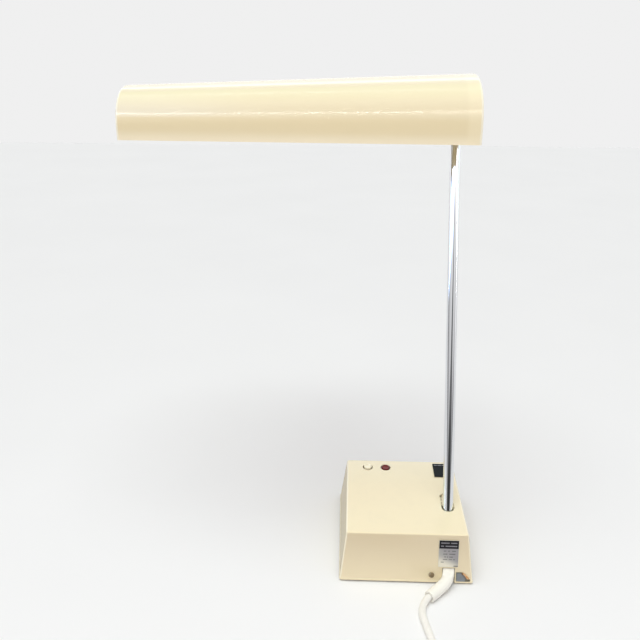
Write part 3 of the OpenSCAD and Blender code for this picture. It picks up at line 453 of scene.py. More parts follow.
def make_cord():
    """One round cord from the clamp to the plug, and the line through its middle."""
    line = []
    for p in WHOLE:
        if not line or (p - line[-1]).length > CORD_STEP:
            line.append(p)
    skin = [CORD_SKIN_R] * 24
    piece = loft([ring_round(p, way, skin) for p, way in zip(line, headings(line))], "mains_cord")
    smooth(piece, 50)
    return piece, [tuple(p * MM) for p in line]


def squared(r, power):
    """Radii of the sleeve's outline: a circle where power is 2, and squarer the higher it is."""
    turns = [2 * math.pi * k / SLEEVE_SIDES for k in range(SLEEVE_SIDES)]
    grown = [abs(math.cos(a)) ** power + abs(math.sin(a)) ** power for a in turns]
    return [r / g ** (1 / power) for g in grown]


def make_sleeve():
    """Stiff sleeve round the cord: square in the notch, round further out, and cut off square."""
    line = curve_through(FREE[1:SLEEVE_LAST + 1], 6)
    ways = headings(line)
    bore = [SLEEVE_BORE_R] * SLEEVE_SIDES
    rings = [ring_round(line[0], ways[0], bore)]
    run = 0.0
    for p, way, following in zip(line, ways, line[1:]):
        power = 2 + (SLEEVE_SQUARE - 2) * (1 - eased((run - SLEEVE_SQUARE_RUN) / SLEEVE_ROUND_RUN))
        rings.append(ring_round(p, way, squared(SLEEVE_R - 0.15 * (power > 2), power)))
        run += (following - p).length
    end, way = line[-1], ways[-1]
    for back, r in (
        (0.45, SLEEVE_R - 0.02), (0.12, SLEEVE_R - 0.12), (0, SLEEVE_R - 0.4),
        (0, SLEEVE_BORE_R + 0.35), (0.3, SLEEVE_BORE_R + 0.05),
    ):
        rings.append(ring_round(end - way * back, way, [r] * SLEEVE_SIDES))
    for p, way in zip(line[-2:0:-1], ways[-2:0:-1]):
        rings.append(ring_round(p, way, bore))
    piece = loft(rings, "cord_sleeve_skin", closed=True)
    smooth(piece, 40)
    return piece


def make_plug():
    """Round plug with a ribbed grip, flats above and below, and a recess for each earth contact."""
    profile = [(0, 0), (4.6, 0), (5.2, 0.5)]
    for k in range(6):
        z = 1.6 + 2.2 * k
        r = 5.3 + 0.16 * k
        profile += [(r, z), (r + 0.5, z + 0.4), (r + 0.5, z + 1.2), (r, z + 1.6)]
    profile += [
        (6.6, 15.2), (8.2, 16.6), (10.6, 18.6), (13.2, 21.4), (15.2, 25), (16.6, 29.4),
        (17.4, 33.4), (18.2, 34.4), (18.5, 35.2), (18.5, 48.8), (18.2, 49.6), (17.5, 50), (0, 50),
    ]
    at = Matrix.Translation(PLUG_START)
    along = Matrix.Rotation(math.pi / 2, 4, "Y")
    piece = lathe(profile, "plug_shell", at @ along, 96)
    cutters = []
    for s in (-1, 1):
        cutters.append(block((12, -20, s * PLUG_H), (60, 20, s * 30), at))
        cutters.append(block((34, -4, s * (PLUG_H - 1.2)), (52, 4, s * (PLUG_H + 2)), at))
        pin = Matrix.Translation((42, s * PLUG_PIN_Y, 0))
        cutters.append(cylinder(2.45, 0, 12, at @ pin @ along, 32))
        for x in (22, 25, 28, 31):
            cutters.append(block((x, s * 13.4, -9), (x + 1.3, s * 22, 9), at))
    carve(piece, cutters)
    merge_flat(piece)
    smooth(piece, 28)
    return piece


cord, cord_line = make_cord()
sleeve = make_sleeve()
plug = make_plug()
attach(cord, "base")
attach(sleeve, "base")
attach(plug, "base")
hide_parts("cord_lead", "cord_coil", "cord_tail")
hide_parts("cord_sleeve")
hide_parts("plug_body")

# Housing of the base


def wedge(inset, r, name):
    """Convex block with leaning walls and round edges."""
    low = PAD_T - 12

    def inward(k):
        return (inset + r) * math.sqrt(1 + k * k)

    rear_in = inward(REAR_DRAFT) - REAR_DRAFT * inward(0)
    front_in = inward(FRONT_DRAFT) - FRONT_DRAFT * inward(0)
    z_rear = BASE_H_REAR - inward(TOP_TAN) + rear_in * TOP_TAN
    z_front = BASE_H_FRONT - inward(TOP_TAN) - front_in * TOP_TAN
    shape = bmesh.new()
    for s in (-1, 1):
        for z, y in (
            (low, rear_y(low) - inward(REAR_DRAFT)), (low, front_y(low) + inward(FRONT_DRAFT)),
            (z_rear, rear_y(z_rear) - inward(REAR_DRAFT)),
            (z_front, front_y(z_front) + inward(FRONT_DRAFT)),
        ):
            place = Matrix.Translation((s * (side_x(z) - inward(SIDE_DRAFT)), y, z))
            bmesh.ops.create_uvsphere(shape, u_segments=64, v_segments=32, radius=r, matrix=place)
    bmesh.ops.delete(shape, geom=list(shape.edges) + list(shape.faces), context="EDGES_FACES")
    bmesh.ops.convex_hull(shape, input=shape.verts)
    bmesh.ops.delete(shape, geom=[v for v in shape.verts if not v.link_faces], context="VERTS")
    return finish_shape(shape, name)


def make_foot_bead():
    """Low bead round the foot of the housing, a little proud of its walls."""
    rings = []
    for up, inset in (
        (0, 0.35), (0.25, 0.1), (0.6, 0), (1.5, 0), (1.85, 0.12), (2.1, FOOT_BEAD + 0.1),
    ):
        z = PAD_T + up
        reach = (side_x(z) - inset, front_y(z) + inset, rear_y(z) - inset)
        rings.append([(x, y, z) for x, y in round_rectangle(*reach, BASE_R, 10)])
    return loft(rings, "foot_bead")


def hanging_rail(side):
    """Rail that guides the slot cover: a web, and a foot turned inwards below it."""
    (y0, y1), outer = RAIL_Y, side * (RAIL_X + 1.5)
    web = block((side * RAIL_X, y0, RAIL_LOW - 1), (outer, y1, -BASE_WALL + 0.5), ON_SLOT)
    foot = block((side * (RAIL_X - 1.2), y0, RAIL_LOW - 1), (outer, y1, RAIL_LOW), ON_SLOT)
    return [web, foot]


def make_housing_inside():
    """Rails for the slot cover and posts for the switch."""
    parts = hanging_rail(1) + hanging_rail(-1)
    middle = (RED_X + WHITE_X) / 2
    reach = (WHITE_X - RED_X) / 2 + POST_OUT
    low, high, bore = -8.4, -BASE_WALL + 0.3, SCREW_HOLE_R
    post = [(bore, low), (3.2, low), (3.5, low + 0.3), (3.5, high), (bore, high), (bore, low)]
    for x in (middle - reach, middle + reach):
        parts.append(lathe(post, "post", on_top(x, BUTTON_Y), 48))
    return join(parts, "housing_inside_parts")


def make_housing():
    piece = wedge(FOOT_BEAD, BASE_R - FOOT_BEAD, "housing_shell")
    carve(piece, [block((-200, -200, PAD_T - 60), (200, 200, PAD_T + 0.4))])
    carve(piece, [make_foot_bead()], "UNION")
    inside = wedge(BASE_WALL, BASE_R - BASE_WALL, "housing_inside")
    through = (-BASE_WALL - 2, 3)
    slot = prism(stadium(SLOT_W / 2, -SLOT_FRONT, SLOT_REAR), *through, ON_SLOT)
    holes = [cylinder(BUTTON_HOLE_R, *through, on_top(x, BUTTON_Y)) for x in (RED_X, WHITE_X)]
    upright = Matrix.Rotation(math.pi / 2, 4, "X")
    rear = Matrix.Translation((CLAMP_X, BASE_D / 2, NOTCH_H / 2 - 2)) @ upright
    notch_half = NOTCH_H / 2 + 2
    notch = prism(round_rectangle(NOTCH_W / 2, -notch_half, notch_half, 1.5), -12, 12, rear)
    screw_holes = [cylinder(SCREW_HOLE_R, -12, 4, place, 32) for place in SCREW_PLACES]
    carve(piece, [inside, slot, *holes, notch, *screw_holes])
    merge_flat(piece)

    def height_over_top(p):
        return (p.z - top_z(p.y)) * math.cos(TOP_SLOPE) + FOOT_BEAD

    def near_hole(p):
        if abs(p.x - STEM_X) < SLOT_W / 2 + 0.6:
            return -SLOT_FRONT - 1 < p.y - STEM_Y < SLOT_REAR + 1
        return any(
            math.hypot(p.x - x, p.y - BUTTON_Y) < BUTTON_HOLE_R + 0.6 for x in (RED_X, WHITE_X)
        )

    def hole_rim(a, b):
        return all(abs(height_over_top(p)) < 0.02 and near_hole(p) for p in (a, b))

    def notch_rim(a, b):
        wall = FOOT_BEAD / math.cos(REAR_LEAN)
        return all(
            abs(p.y + wall - rear_y(p.z)) < 0.02 and abs(p.x - CLAMP_X) < NOTCH_W / 2 + 0.1
            and p.z < NOTCH_H + 1.1 for p in (a, b)
        )

    round_edges(piece, hole_rim, 0.45)
    round_edges(piece, notch_rim, 0.3, 2)
    smooth(piece, 32)
    return piece


housing = make_housing()
housing_inside = make_housing_inside()
for piece in (housing, housing_inside):
    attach(piece, "base")
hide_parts("base_housing")


def make_housing_screws():
    """Pan-head screws in the rear and front walls, with their slots upright."""
    r = SCREW_HEAD_R
    profile = [
        (0, -7), (1.3, -7), (1.48, -6.6), (1.48, 0.02), (r, 0.02), (r, 0.7), (r - 0.15, 1.2),
        (r - 0.6, 1.6), (r - 1.4, 1.88), (0, 2),
    ]
    parts = []
    for place in SCREW_PLACES:
        head = lathe(profile, "screw", place, 48)
        carve(head, [block((-0.5, -r - 1, 0.9), (0.5, r + 1, 3), place)])
        parts.append(head)
    return join(parts, "housing_screw_heads")


screws = make_housing_screws()
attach(screws, "base")
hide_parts("housing_screws")

# Shade


def along_shade(ends, u):
    """A size of the shade at the distance u from its stem end."""
    return ends[0] + (ends[1] - ends[0]) * u / SHADE_L


def arch_ring(u, inset, foot):
    """Outline across the shade at u: straight sides and an arch over them."""
    half = along_shade(SHADE_HALF, u) - inset
    high = along_shade(SHADE_HIGH, u) - inset
    low = along_shade(SHADE_SIDE, u)
    x = u - SHADE_OVERHANG
    power = 2 / SHADE_ARCH
    ring = [(x, -half, foot), (x, -half, low * 0.5)]
    for i in range(SHADE_STEPS + 1):
        a = math.pi * i / SHADE_STEPS
        c, s = -math.cos(a), abs(math.sin(a))
        ring.append((x, half * math.copysign(abs(c) ** power, c), low + (high - low) * s ** power))
    ring += [(x, half, low * 0.5), (x, half, foot)]
    return ring


def make_shade():
    """Tapered shell, open below, with its end walls rounded into its sides."""
    turns = [math.pi / 2 * k / 7 for k in range(8)]
    rounding = [(SHADE_EDGE_R * (1 - math.cos(a)), SHADE_EDGE_R * (1 - math.sin(a))) for a in turns]
    between = [SHADE_L * k / 12 for k in range(1, 12)]
    outer = [arch_ring(u, inset, 0) for u, inset in rounding]
    outer += [arch_ring(u, 0, 0) for u in between]
    outer += [arch_ring(SHADE_L - u, inset, 0) for u, inset in rounding[::-1]]
    piece = loft(outer, "shade_shell_skin", IN_SHADE)
    inner = [arch_ring(u, SHADE_WALL, -2) for u in (SHADE_WALL, *between, SHADE_L - SHADE_WALL)]
    carve(piece, [loft(inner, "shade_inside", IN_SHADE)])

    def lip(a, b):
        return all(abs(p.z - LIP_Z) < 0.01 for p in (a, b))

    merge_flat(piece, 0.01)
    round_edges(piece, lip, 0.7)
    smooth(piece, 35)
    return piece


def make_shade_bosses():
    """Bosses under the crown of the shade for the screws of the reflector and the bracket."""
    parts = []
    screws = [(x, 0, 38.8) for x in REFLECTOR_SCREWS] + [(0, -14, 45.0), (0, 14, 45.0)]
    for x, y, low in screws:
        high = along_shade(SHADE_HIGH, x + SHADE_OVERHANG) - 0.7 * SHADE_WALL
        boss = [(1.6, low), (4.2, low), (4.5, low + 0.3), (4.5, high), (1.6, high), (1.6, low)]
        parts.append(lathe(boss, "boss", IN_SHADE @ Matrix.Translation((x, y, 0)), 48))
    return join(parts, "shade_bosses")


shade = make_shade()
bosses = make_shade_bosses()
for piece in (shade, bosses):
    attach(piece, "shade")
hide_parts("shade_shell")

# Shader node groups


class Tree:
    """Short way to place and join shader nodes."""

    def __init__(self, tree):
        self.tree = tree

    def put(self, value, socket):
        if isinstance(value, bpy.types.NodeSocket):
            self.tree.links.new(value, socket)
        else:
            socket.default_value = value

    def node(self, kind, **settings):
        made = self.tree.nodes.new(kind)
        inputs = settings.pop("inputs", {})
        for key, value in settings.items():
            setattr(made, key, value)
        for key, value in inputs.items():
            self.put(value, made.inputs[key])
        return made

    def noise(self, vector, scale, detail, rough=0.5):
        made = self.node("ShaderNodeTexNoise", inputs={
            "Vector": vector, "Scale": scale, "Detail": detail, "Roughness": rough})
        return made.outputs["Fac"]

    def math(self, operation, *values, clamp=False):
        return self.node("ShaderNodeMath", operation=operation, use_clamp=clamp,
                         inputs=dict(enumerate(values))).outputs[0]

    def times(self, a, b, clamp=False):
        return self.math("MULTIPLY", a, b, clamp=clamp)

    def plus(self, a, b, clamp=False):
        return self.math("ADD", a, b, clamp=clamp)

    def minus(self, a, b):
        return self.math("SUBTRACT", a, b)

    def most(self, a, b):
        return self.math("MAXIMUM", a, b)

    def absolute(self, value):
        return self.math("ABSOLUTE", value)

    def between(self, share, a, b):
        made = self.node("ShaderNodeMix", data_type="FLOAT", inputs={0: share, 2: a, 3: b})
        return made.outputs[0]

    def step(self, value, low, high):
        """Rises smoothly from 0 at low to 1 at high."""
        return self.node("ShaderNodeMapRange", interpolation_type="SMOOTHSTEP", inputs={
            "Value": value, "From Min": low, "From Max": high}).outputs["Result"]

    def span(self, value, low, high):
        """Low where the value is 0, and high where it is 1."""
        return self.node("ShaderNodeMapRange", inputs={
            "Value": value, "To Min": low, "To Max": high}).outputs["Result"]

    def mix(self, share, a, b):
        """Colour a, with colour b laid over it by share."""
        made = self.node("ShaderNodeMix", data_type="RGBA", inputs={0: share, 6: a, 7: b})
        return made.outputs[2]

    def place(self):
        return self.node("ShaderNodeTexCoord").outputs["Object"]

    def split(self, vector):
        return self.node("ShaderNodeSeparateXYZ", inputs={0: vector}).outputs

    def group(self, group, **values):
        made = self.node("ShaderNodeGroup", node_tree=group)
        for key, value in values.items():
            self.put(value, made.inputs[key.replace("_", " ")])
        return made.outputs


def new_group(name, inputs, outputs):
    """An empty group, and the sockets at its two ends."""
    group = bpy.data.node_groups.new(name, "ShaderNodeTree")
    for way, titles in (("INPUT", inputs), ("OUTPUT", outputs)):
        for title in titles:
            kind = "NodeSocketColor" if title == "Colour" else "NodeSocketFloat"
            group.interface.new_socket(title, in_out=way, socket_type=kind)
    given = group.nodes.new("NodeGroupInput").outputs
    return group, given, group.nodes.new("NodeGroupOutput").inputs


def colour(*shown):
    """Linear colour from the red, green and blue that it should show, 0 to 255."""
    parts = (c / 255 for c in shown)
    linear = (c / 12.92 if c <= 0.04045 else ((c + 0.055) / 1.055) ** 2.4 for c in parts)
    return (*linear, 1.0)


def make_uneven():
    """Slow drift of colour and gloss over a surface, with finer clouding on top."""
    group, given, out = new_group(
        "uneven", ("Colour", "Drift", "Scale", "Rough", "Rough drift"), ("Colour", "Rough"))
    t = Tree(group)
    place = t.place()
    slow = t.noise(place, given["Scale"], 2.0)
    fine = t.noise(place, t.times(given["Scale"], 9.0), 4.0, 0.6)
    cloud = t.plus(t.times(slow, 0.7), t.times(fine, 0.3))
    centred = t.minus(cloud, 0.5)
    value = t.plus(1.0, t.times(centred, given["Drift"]))
    tint = t.node("ShaderNodeHueSaturation", inputs={"Color": given["Colour"], "Value": value})
    rough = t.plus(given["Rough"], t.times(centred, given["Rough drift"]), clamp=True)
    t.put(tint.outputs[0], out["Colour"])
    t.put(rough, out["Rough"])
    return group


def make_marks():
    """Hairline scratches and small rubbed spots, as a mask."""
    group, given, out = new_group("marks", ("Scale", "Amount"), ("Mask",))
    t = Tree(group)
    place = t.place()
    masks = []
    for turn, stretch in (((0.3, 0.2, 0.5), (1.0, 26.0, 1.0)), ((1.1, 0.7, 2.0), (24.0, 1.0, 1.3))):
        spun = t.node("ShaderNodeMapping", inputs={
            "Vector": place, "Rotation": turn, "Scale": stretch})
        lines = t.noise(spun.outputs[0], given["Scale"], 2.0)
        masks.append(t.step(lines, 0.7, 0.76))
    spots = t.step(t.noise(place, t.times(given["Scale"], 2.3), 5.0, 0.7), 0.69, 0.78)
    both = t.most(t.most(*masks), spots)
    t.put(t.times(both, given["Amount"], clamp=True), out["Mask"])
    return group


def make_grain():
    """Fine height of a moulded, sprayed or cast surface."""
    group, given, out = new_group("grain", ("Scale", "Waves", "Wave scale"), ("Height",))
    t = Tree(group)
    place = t.place()
    fine = t.noise(place, given["Scale"], 3.0, 0.6)
    broad = t.times(t.noise(place, given["Wave scale"], 1.0), given["Waves"])
    t.put(t.plus(fine, broad), out["Height"])
    return group


def make_dust():
    """Thin dust that lies on faces turned upwards."""
    group, given, out = new_group("dust", ("Amount", "Scale"), ("Mask",))
    t = Tree(group)
    up = t.split(t.node("ShaderNodeNewGeometry").outputs["Normal"])["Z"]
    patchy = t.step(t.noise(t.place(), given["Scale"], 6.0, 0.65), 0.42, 0.74)
    lying = t.times(t.step(up, 0.55, 0.98), patchy)
    t.put(t.times(lying, given["Amount"], clamp=True), out["Mask"])
    return group


UNEVEN = make_uneven()
MARKS = make_marks()
GRAIN = make_grain()
DUST = make_dust()
DUST_COLOUR = (196, 188, 172)
DUST_SCALE = 55.0
PLASTIC_IOR = 1.5


class Finish:
    """A material with a Principled shader, uneven colour and gloss, and a fine surface height.

    drift is the amount and scale of the uneven colour, mark the amount, scale and colour of the
    scratches, grain the scale and depth of the surface height, and waves its broad part.
    """

    def __init__(self, name, base, rough, drift, grain, metal=0.0, rough_drift=0.12, coat=0.0,
                 coat_rough=0.05, specular=0.5, mark=None, dust=0.0, waves=(0.0, 40)):
        self.material = bpy.data.materials.new(name)
        self.material.use_nodes = True
        self.t = t = Tree(self.material.node_tree)
        self.shader = self.material.node_tree.nodes["Principled BSDF"]
        for socket, value in (
            ("Metallic", metal), ("IOR", PLASTIC_IOR), ("Specular IOR Level", specular),
            ("Coat Weight", coat), ("Coat Roughness", coat_rough),
        ):
            self.shader.inputs[socket].default_value = value
        uneven = t.group(UNEVEN, Colour=colour(*base), Drift=drift[0], Scale=drift[1], Rough=rough,
                         Rough_drift=rough_drift)
        self.colour, self.rough = uneven["Colour"], uneven["Rough"]
        if mark:
            amount, scale, tone = mark
            self.wear(t.group(MARKS, Scale=scale, Amount=amount)["Mask"], tone, 0.25)
        if dust:
            self.wear(t.group(DUST, Amount=dust, Scale=DUST_SCALE)["Mask"], DUST_COLOUR, 0.4)
        self.height = t.group(GRAIN, Scale=grain[0], Waves=waves[0], Wave_scale=waves[1])["Height"]
        self.bump = t.node("ShaderNodeBump", inputs={"Strength": 0.35, "Distance": grain[1] * MM})
        self.join()

    def wear(self, mask, tone, rougher):
        """Lays a worn or dusty colour on the material and takes its gloss away."""
        self.colour = self.t.mix(mask, self.colour, colour(*tone))
        self.rough = self.t.plus(self.rough, self.t.times(mask, rougher), clamp=True)

    def join(self):
        put, into = self.t.put, self.shader.inputs
        put(self.colour, into["Base Color"])
        put(self.rough, into["Roughness"])
        put(self.height, self.bump.inputs["Height"])
        put(self.bump.outputs[0], into["Normal"])

    def paint(self, mask, tone, rough=None, share=1.0):
        """Lays a share of another colour over the material where mask is 1."""
        if share < 1.0:
            mask = self.t.times(mask, share)
        over = colour(*tone) if isinstance(tone, tuple) else tone
        self.colour = self.t.mix(mask, self.colour, over)
        if rough is not None:
            self.rough = self.t.between(mask, self.rough, rough)
        self.join()

    def on(self, *pieces):
        for piece in pieces:
            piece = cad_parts[piece] if isinstance(piece, str) else piece
            piece.data.materials.clear()
            piece.data.materials.append(self.material)


def face_coordinates(t, place):
    """Distances in metres from the middle of a face, along its own X and Y.

    On the rear wall its Y runs down.
    """
    back = place.inverted()
    point = t.node("ShaderNodeMapping", vector_type="POINT", inputs={
        "Vector": t.place(), "Location": back.translation * MM, "Rotation": back.to_euler("XYZ")})
    parts = t.split(point.outputs[0])
    return parts["X"], parts["Y"]


def box_mask(t, x, y, x0, x1, y0, y1, soft=0.12):
    """1 inside a rectangle given in millimetres, with a soft border."""
    across, along = (
        t.times(t.step(value, (low - soft) * MM, (low + soft) * MM),
                t.step(value, (high + soft) * MM, (high - soft) * MM))
        for value, low, high in ((x, x0, x1), (y, y0, y1))
    )
    return t.times(across, along)


# Materials


def cream_enamel(name):
    return Finish(name, (242, 227, 191), 0.24, drift=(0.03, 9), rough_drift=0.1, coat=0.5,
                  coat_rough=0.04, mark=(0.05, 40, (206, 190, 150)), dust=0.05,
                  grain=(1500, 0.006), waves=(1.2, 70))


def make_housing_enamel():
    """Cream with painted shade on the upright walls, strongest near their upper edges.

    The side walls are painted darker as shade and have less gloss, and the edges between faces
    are painted paler as highlights.
    """
    made = cream_enamel("housing_enamel")
    t = made.t
    facing = t.split(t.node("ShaderNodeNewGeometry").outputs["Normal"])
    x, y, z = (t.absolute(facing[axis]) for axis in "XYZ")
    # Painted shade: upright walls darker, a little at the foot and most near their tops
    rise = t.step(t.split(t.place())["Z"], 0.004, 0.056)
    made.paint(t.times(t.step(z, 0.75, 0.45), t.span(rise, 0.15, 0.85)), (219, 202, 169))
    # Painted shade: the side walls darker; they also get less coat and specular gloss
    flank = t.step(x, 0.8, 0.95)
    made.paint(flank, (206, 193, 161), share=0.9)
    for socket in ("Coat Weight", "Specular IOR Level"):
        t.put(t.span(flank, 0.5, 0.05), made.shader.inputs[socket])
    # Painted highlights on the rounded edges between faces, the front top edge among them
    front_highlight = t.times(t.times(facing["Y"], z), -1.0)
    edge = t.most(t.times(x, t.most(y, z)), front_highlight)
    made.paint(t.step(edge, 0.29, 0.42), (254, 246, 220), share=0.8)
    return made


def make_shade_enamel():
    """Cream with painted shade low on the sides.

    Painted highlights lie along the lip, near the stem end and on the rims of both ends.
    """
    made = cream_enamel("shade_enamel")
    t = made.t
    place = t.split(t.place())
    x, z = place["X"], place["Z"]
    # Painted shade on the sides, between about 3 and 30 mm above the lip
    side = t.times(t.step(z, (LIP_Z + 30) * MM, (LIP_Z + 23) * MM),
                   t.step(z, (LIP_Z + 3) * MM, (LIP_Z + 14) * MM))
    made.paint(side, (241, 224, 184))
    # Painted light along the lip, strongest at its edge
    made.paint(t.step(z, (LIP_Z + 12) * MM, LIP_Z * MM), (252, 238, 206))
    low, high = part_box("shade_shell")
    from_stem_end = t.minus(x, low.x)
    # Painted highlight within 19 mm of the stem end
    made.paint(t.step(from_stem_end, 0.019, 0.012), (252, 238, 202), share=0.5)
    # Painted highlights on the rounded rims of both ends
    from_end = t.math("MINIMUM", from_stem_end, t.minus(high.x, x))
    made.paint(t.step(from_end, 0.0032, 0.0018), (255, 248, 228), share=0.8)
    return made


def make_slot_cover_enamel():
    """Cream with a patchy dark line along both edges of the slot, painted shadow and dirt.

    Painted shade lies near the front end of the slot, on one side.
    """
    made = cream_enamel("slot_cover_enamel")
    t = made.t
    x, y = face_coordinates(t, ON_SLOT)
    # Painted shadow and dirt: a patchy dark line along both edges of the slot
    edge = t.plus(t.times(y, 0.065), 0.00666)
    off = t.absolute(t.minus(t.absolute(x), edge))
    patchy = t.step(t.noise(t.place(), 420.0, 3.0), 0.3, 0.52)
    made.paint(t.times(t.step(off, 0.00075, 0.00035), patchy), (112, 94, 66), 0.7, share=0.85)
    # Painted shade near the front end of the slot, on one side
    made.paint(box_mask(t, x, y, 4.2, 6.2, -26.5, -19.6, 0.6), (84, 66, 44), 0.7, share=0.9)
    return made


make_housing_enamel().on(housing, housing_inside)
make_shade_enamel().on(shade, bosses)
make_slot_cover_enamel().on("slot_cover")
Finish("ivory_button", (250, 240, 212), 0.25, drift=(0.04, 60), coat=0.3, grain=(2500, 0.006),
       mark=(0.06, 160, (255, 255, 234))).on("start_button")
Finish("dark_red_button", (112, 20, 16), 0.28, drift=(0.1, 80), specular=0.3, grain=(2500, 0.005),
       mark=(0.06, 160, (150, 80, 70))).on("stop_button")
Finish("bright_chrome", (226, 227, 230), 0.045, metal=1, drift=(0.02, 14), rough_drift=0.05,
       mark=(0.1, 90, (190, 190, 192)), grain=(1200, 0.0015)).on(
    "stem_tube", "stem_top_plug", "swivel_block")
Finish("zinc_plated_steel", (168, 168, 166), 0.34, metal=1, drift=(0.16, 120), rough_drift=0.25,
       mark=(0.2, 220, (120, 116, 108)), grain=(2200, 0.01)).on(
    "pivot_bracket", "bracket_screws", "pivot_bolt", "pivot_washers", "pivot_nut", "choke_strap",
    "choke_screws", "switch_screws", "clamp_screws", "stem_foot", "stem_pin", "swivel_screw",
    "tilt_bolt", "tilt_washers", "tilt_nut", "shade_bracket", "shade_bracket_screws",
    "reflector_screws")
Finish("browned_screw_steel", (150, 132, 104), 0.42, metal=0.7, drift=(0.3, 300), rough_drift=0.2,
       mark=(0.2, 400, (96, 84, 62)), grain=(2400, 0.02)).on(screws)
Finish("grey_plate_paint", (92, 92, 90), 0.5, drift=(0.08, 30), mark=(0.12, 80, (140, 138, 134)),
       grain=(1400, 0.03)).on("base_plate")
Finish("spring_steel", (150, 150, 152), 0.28, metal=1, drift=(0.08, 200), grain=(3000, 0.02)).on(
    "start_spring", "stop_spring")
Finish("black_rubber", (34, 34, 34), 0.78, drift=(0.25, 40), rough_drift=0.15, grain=(1600, 0.12),
       waves=(0.6, 300), dust=0.1).on("base_pad")
Finish("white_cord_sheath", (243, 240, 232), 0.42, drift=(0.05, 24), rough_drift=0.15,
       mark=(0.1, 110, (186, 178, 164)), dust=0.12, grain=(1800, 0.015)).on(cord, plug)
Finish("white_sleeve", (247, 244, 234), 0.3, drift=(0.05, 40), coat=0.25,
       mark=(0.08, 120, (205, 190, 178)), grain=(2000, 0.012)).on(sleeve)
Finish("plain_brass", (206, 172, 104), 0.3, metal=1, drift=(0.12, 140), rough_drift=0.2,
       mark=(0.15, 260, (150, 118, 70)), grain=(2400, 0.008)).on(
    "switch_contacts", "terminal_screws", "plug_contacts")
Finish("nickel_pins", (200, 198, 192), 0.2, metal=1, drift=(0.06, 160),
       mark=(0.25, 300, (150, 146, 138)), grain=(2400, 0.006)).on("plug_pins")
Finish("white_moulding", (233, 232, 228), 0.45, drift=(0.05, 50), dust=0.1,
       grain=(1800, 0.02)).on("switch_body", "terminal_block", "cord_clamp", "tube_holders")
Finish("wire_sheath", (214, 214, 210), 0.4, drift=(0.05, 80), grain=(2000, 0.01)).on(
    "base_wires", "stem_wire", "shade_wires")
Finish("white_enamel", (240, 240, 236), 0.22, drift=(0.03, 12), coat=0.3,
       mark=(0.05, 60, (200, 198, 190)), grain=(1300, 0.008), waves=(1.0, 60)).on("reflector")
Finish("tube_cap_metal", (196, 198, 200), 0.3, metal=1, drift=(0.08, 140),
       mark=(0.2, 240, (150, 150, 148)), grain=(2600, 0.01)).on("tube_caps")
Finish("wound_copper", (156, 84, 44), 0.35, metal=0.8, drift=(0.2, 60), grain=(900, 0.2),
       waves=(2.0, 500)).on("choke_coil")


def make_glass():
    """Tube glass: white powder inside, grey towards the ends."""
    made = Finish("tube_glass", (242, 243, 240), 0.1, drift=(0.02, 30), coat=0.6, coat_rough=0.03,
                  grain=(600, 0.003), dust=0.06)
    t = made.t
    low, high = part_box("tube_front")
    x = t.split(t.place())["X"]
    from_end = t.math("MINIMUM", t.minus(x, low.x), t.minus(high.x, x))
    made.paint(t.minus(1.0, t.step(from_end, 0.0, 0.022)), (96, 92, 88), share=0.5)
    return made


make_glass().on("tube_front", "tube_rear")


def make_core():
    """Stacked sheets of the choke, under brown varnish."""
    made = Finish("varnished_sheets", (74, 62, 54), 0.45, metal=0.3, drift=(0.3, 70), coat=0.3,
                  grain=(1000, 0.05))
    t = made.t
    sheets = t.math("PINGPONG", t.split(t.place())["Z"], 0.0005)
    made.height = t.plus(made.height, t.times(sheets, 3000.0))
    made.paint(t.step(sheets, 0.0003, 0.0005), (44, 38, 34))
    return made


make_core().on("choke_core")


def make_label():
    """Silver label with a black band above; rows of plain dashes stand in for its print."""
    made = Finish("rating_label_foil", (156, 153, 155), 0.34, metal=0.45, drift=(0.12, 60),
                  rough_drift=0.2, mark=(0.2, 180, (206, 204, 198)), grain=(1500, 0.02))
    t = made.t
    x, y = face_coordinates(t, on_rear(LABEL_X, LABEL_Z))
    made.paint(t.step(t.plus(x, y), -0.006, 0.012), (196, 194, 184), share=0.4)
    made.paint(t.step(t.plus(t.times(x, 0.45), y), 0.004, 0.017), (238, 232, 214), 0.5)
    made.paint(box_mask(t, x, y, -14, -6, 14.4, 20, 1.2), (96, 92, 82), share=0.8)
    made.paint(box_mask(t, x, y, -12, 12, -17, -6.1), (18, 18, 22), 0.35)
    uneven = t.span(t.noise(t.place(), 900.0, 2.0), 0.3, 1.0)
    on_band, on_silver = (166, 164, 170), (70, 68, 70)
    rows = (
        (-12.8, 0.62, on_band, ((-8.9, -2.0), (-0.4, 8.8))),
        (-9.05, 0.62, on_band, ((-8.9, 3.9), (5.6, 8.8))),
        (-3.2, 0.5, on_silver, ((-7.9, -3.4), (-1.4, 0.9), (2.7, 5.6))),
        (0.5, 0.55, on_silver, ((-7.3, -0.6), (1.4, 6.0))),
        (4.0, 0.6, on_silver, ((-4.8, -0.9), (0.5, 1.8), (3.0, 4.8))),
        (7.1, 0.5, on_silver, ((-7.2, -5.2), (-3.8, -0.2), (1.2, 6.2))),
        (10.4, 0.45, on_silver, ((5.0, 8.4),)),
    )
    for middle, half, tone, dashes in rows:
        for x0, x1 in dashes:
            dash = box_mask(t, x, y, x0, x1, middle - half, middle + half, 0.3)
            made.paint(t.times(dash, uneven), tone)
    border = t.minus(1.0, box_mask(t, x, y, -10.75, 10.75, -15.95, 15.95, 0.1))
    made.paint(border, (226, 220, 202), 0.5)
    return made


make_label().on("rating_label")


def make_name_plate():
    """Bare black plate with three silver strokes along its front edge."""
    made = Finish("black_plate", (18, 18, 23), 0.5, drift=(0.2, 80), specular=0.1,
                  mark=(0.12, 200, (92, 92, 96)), grain=(1800, 0.01))
    t = made.t
    x, y = face_coordinates(t, on_top(STEM_X, NAME_PLATE_Y))
    for x0, x1 in ((-7.4, -2.2), (-1.4, 3.0), (3.8, 7.4)):
        made.paint(box_mask(t, x, y, x0, x1, -10.8, -9.6), (150, 152, 156))
    return made


make_name_plate().on("name_plate")


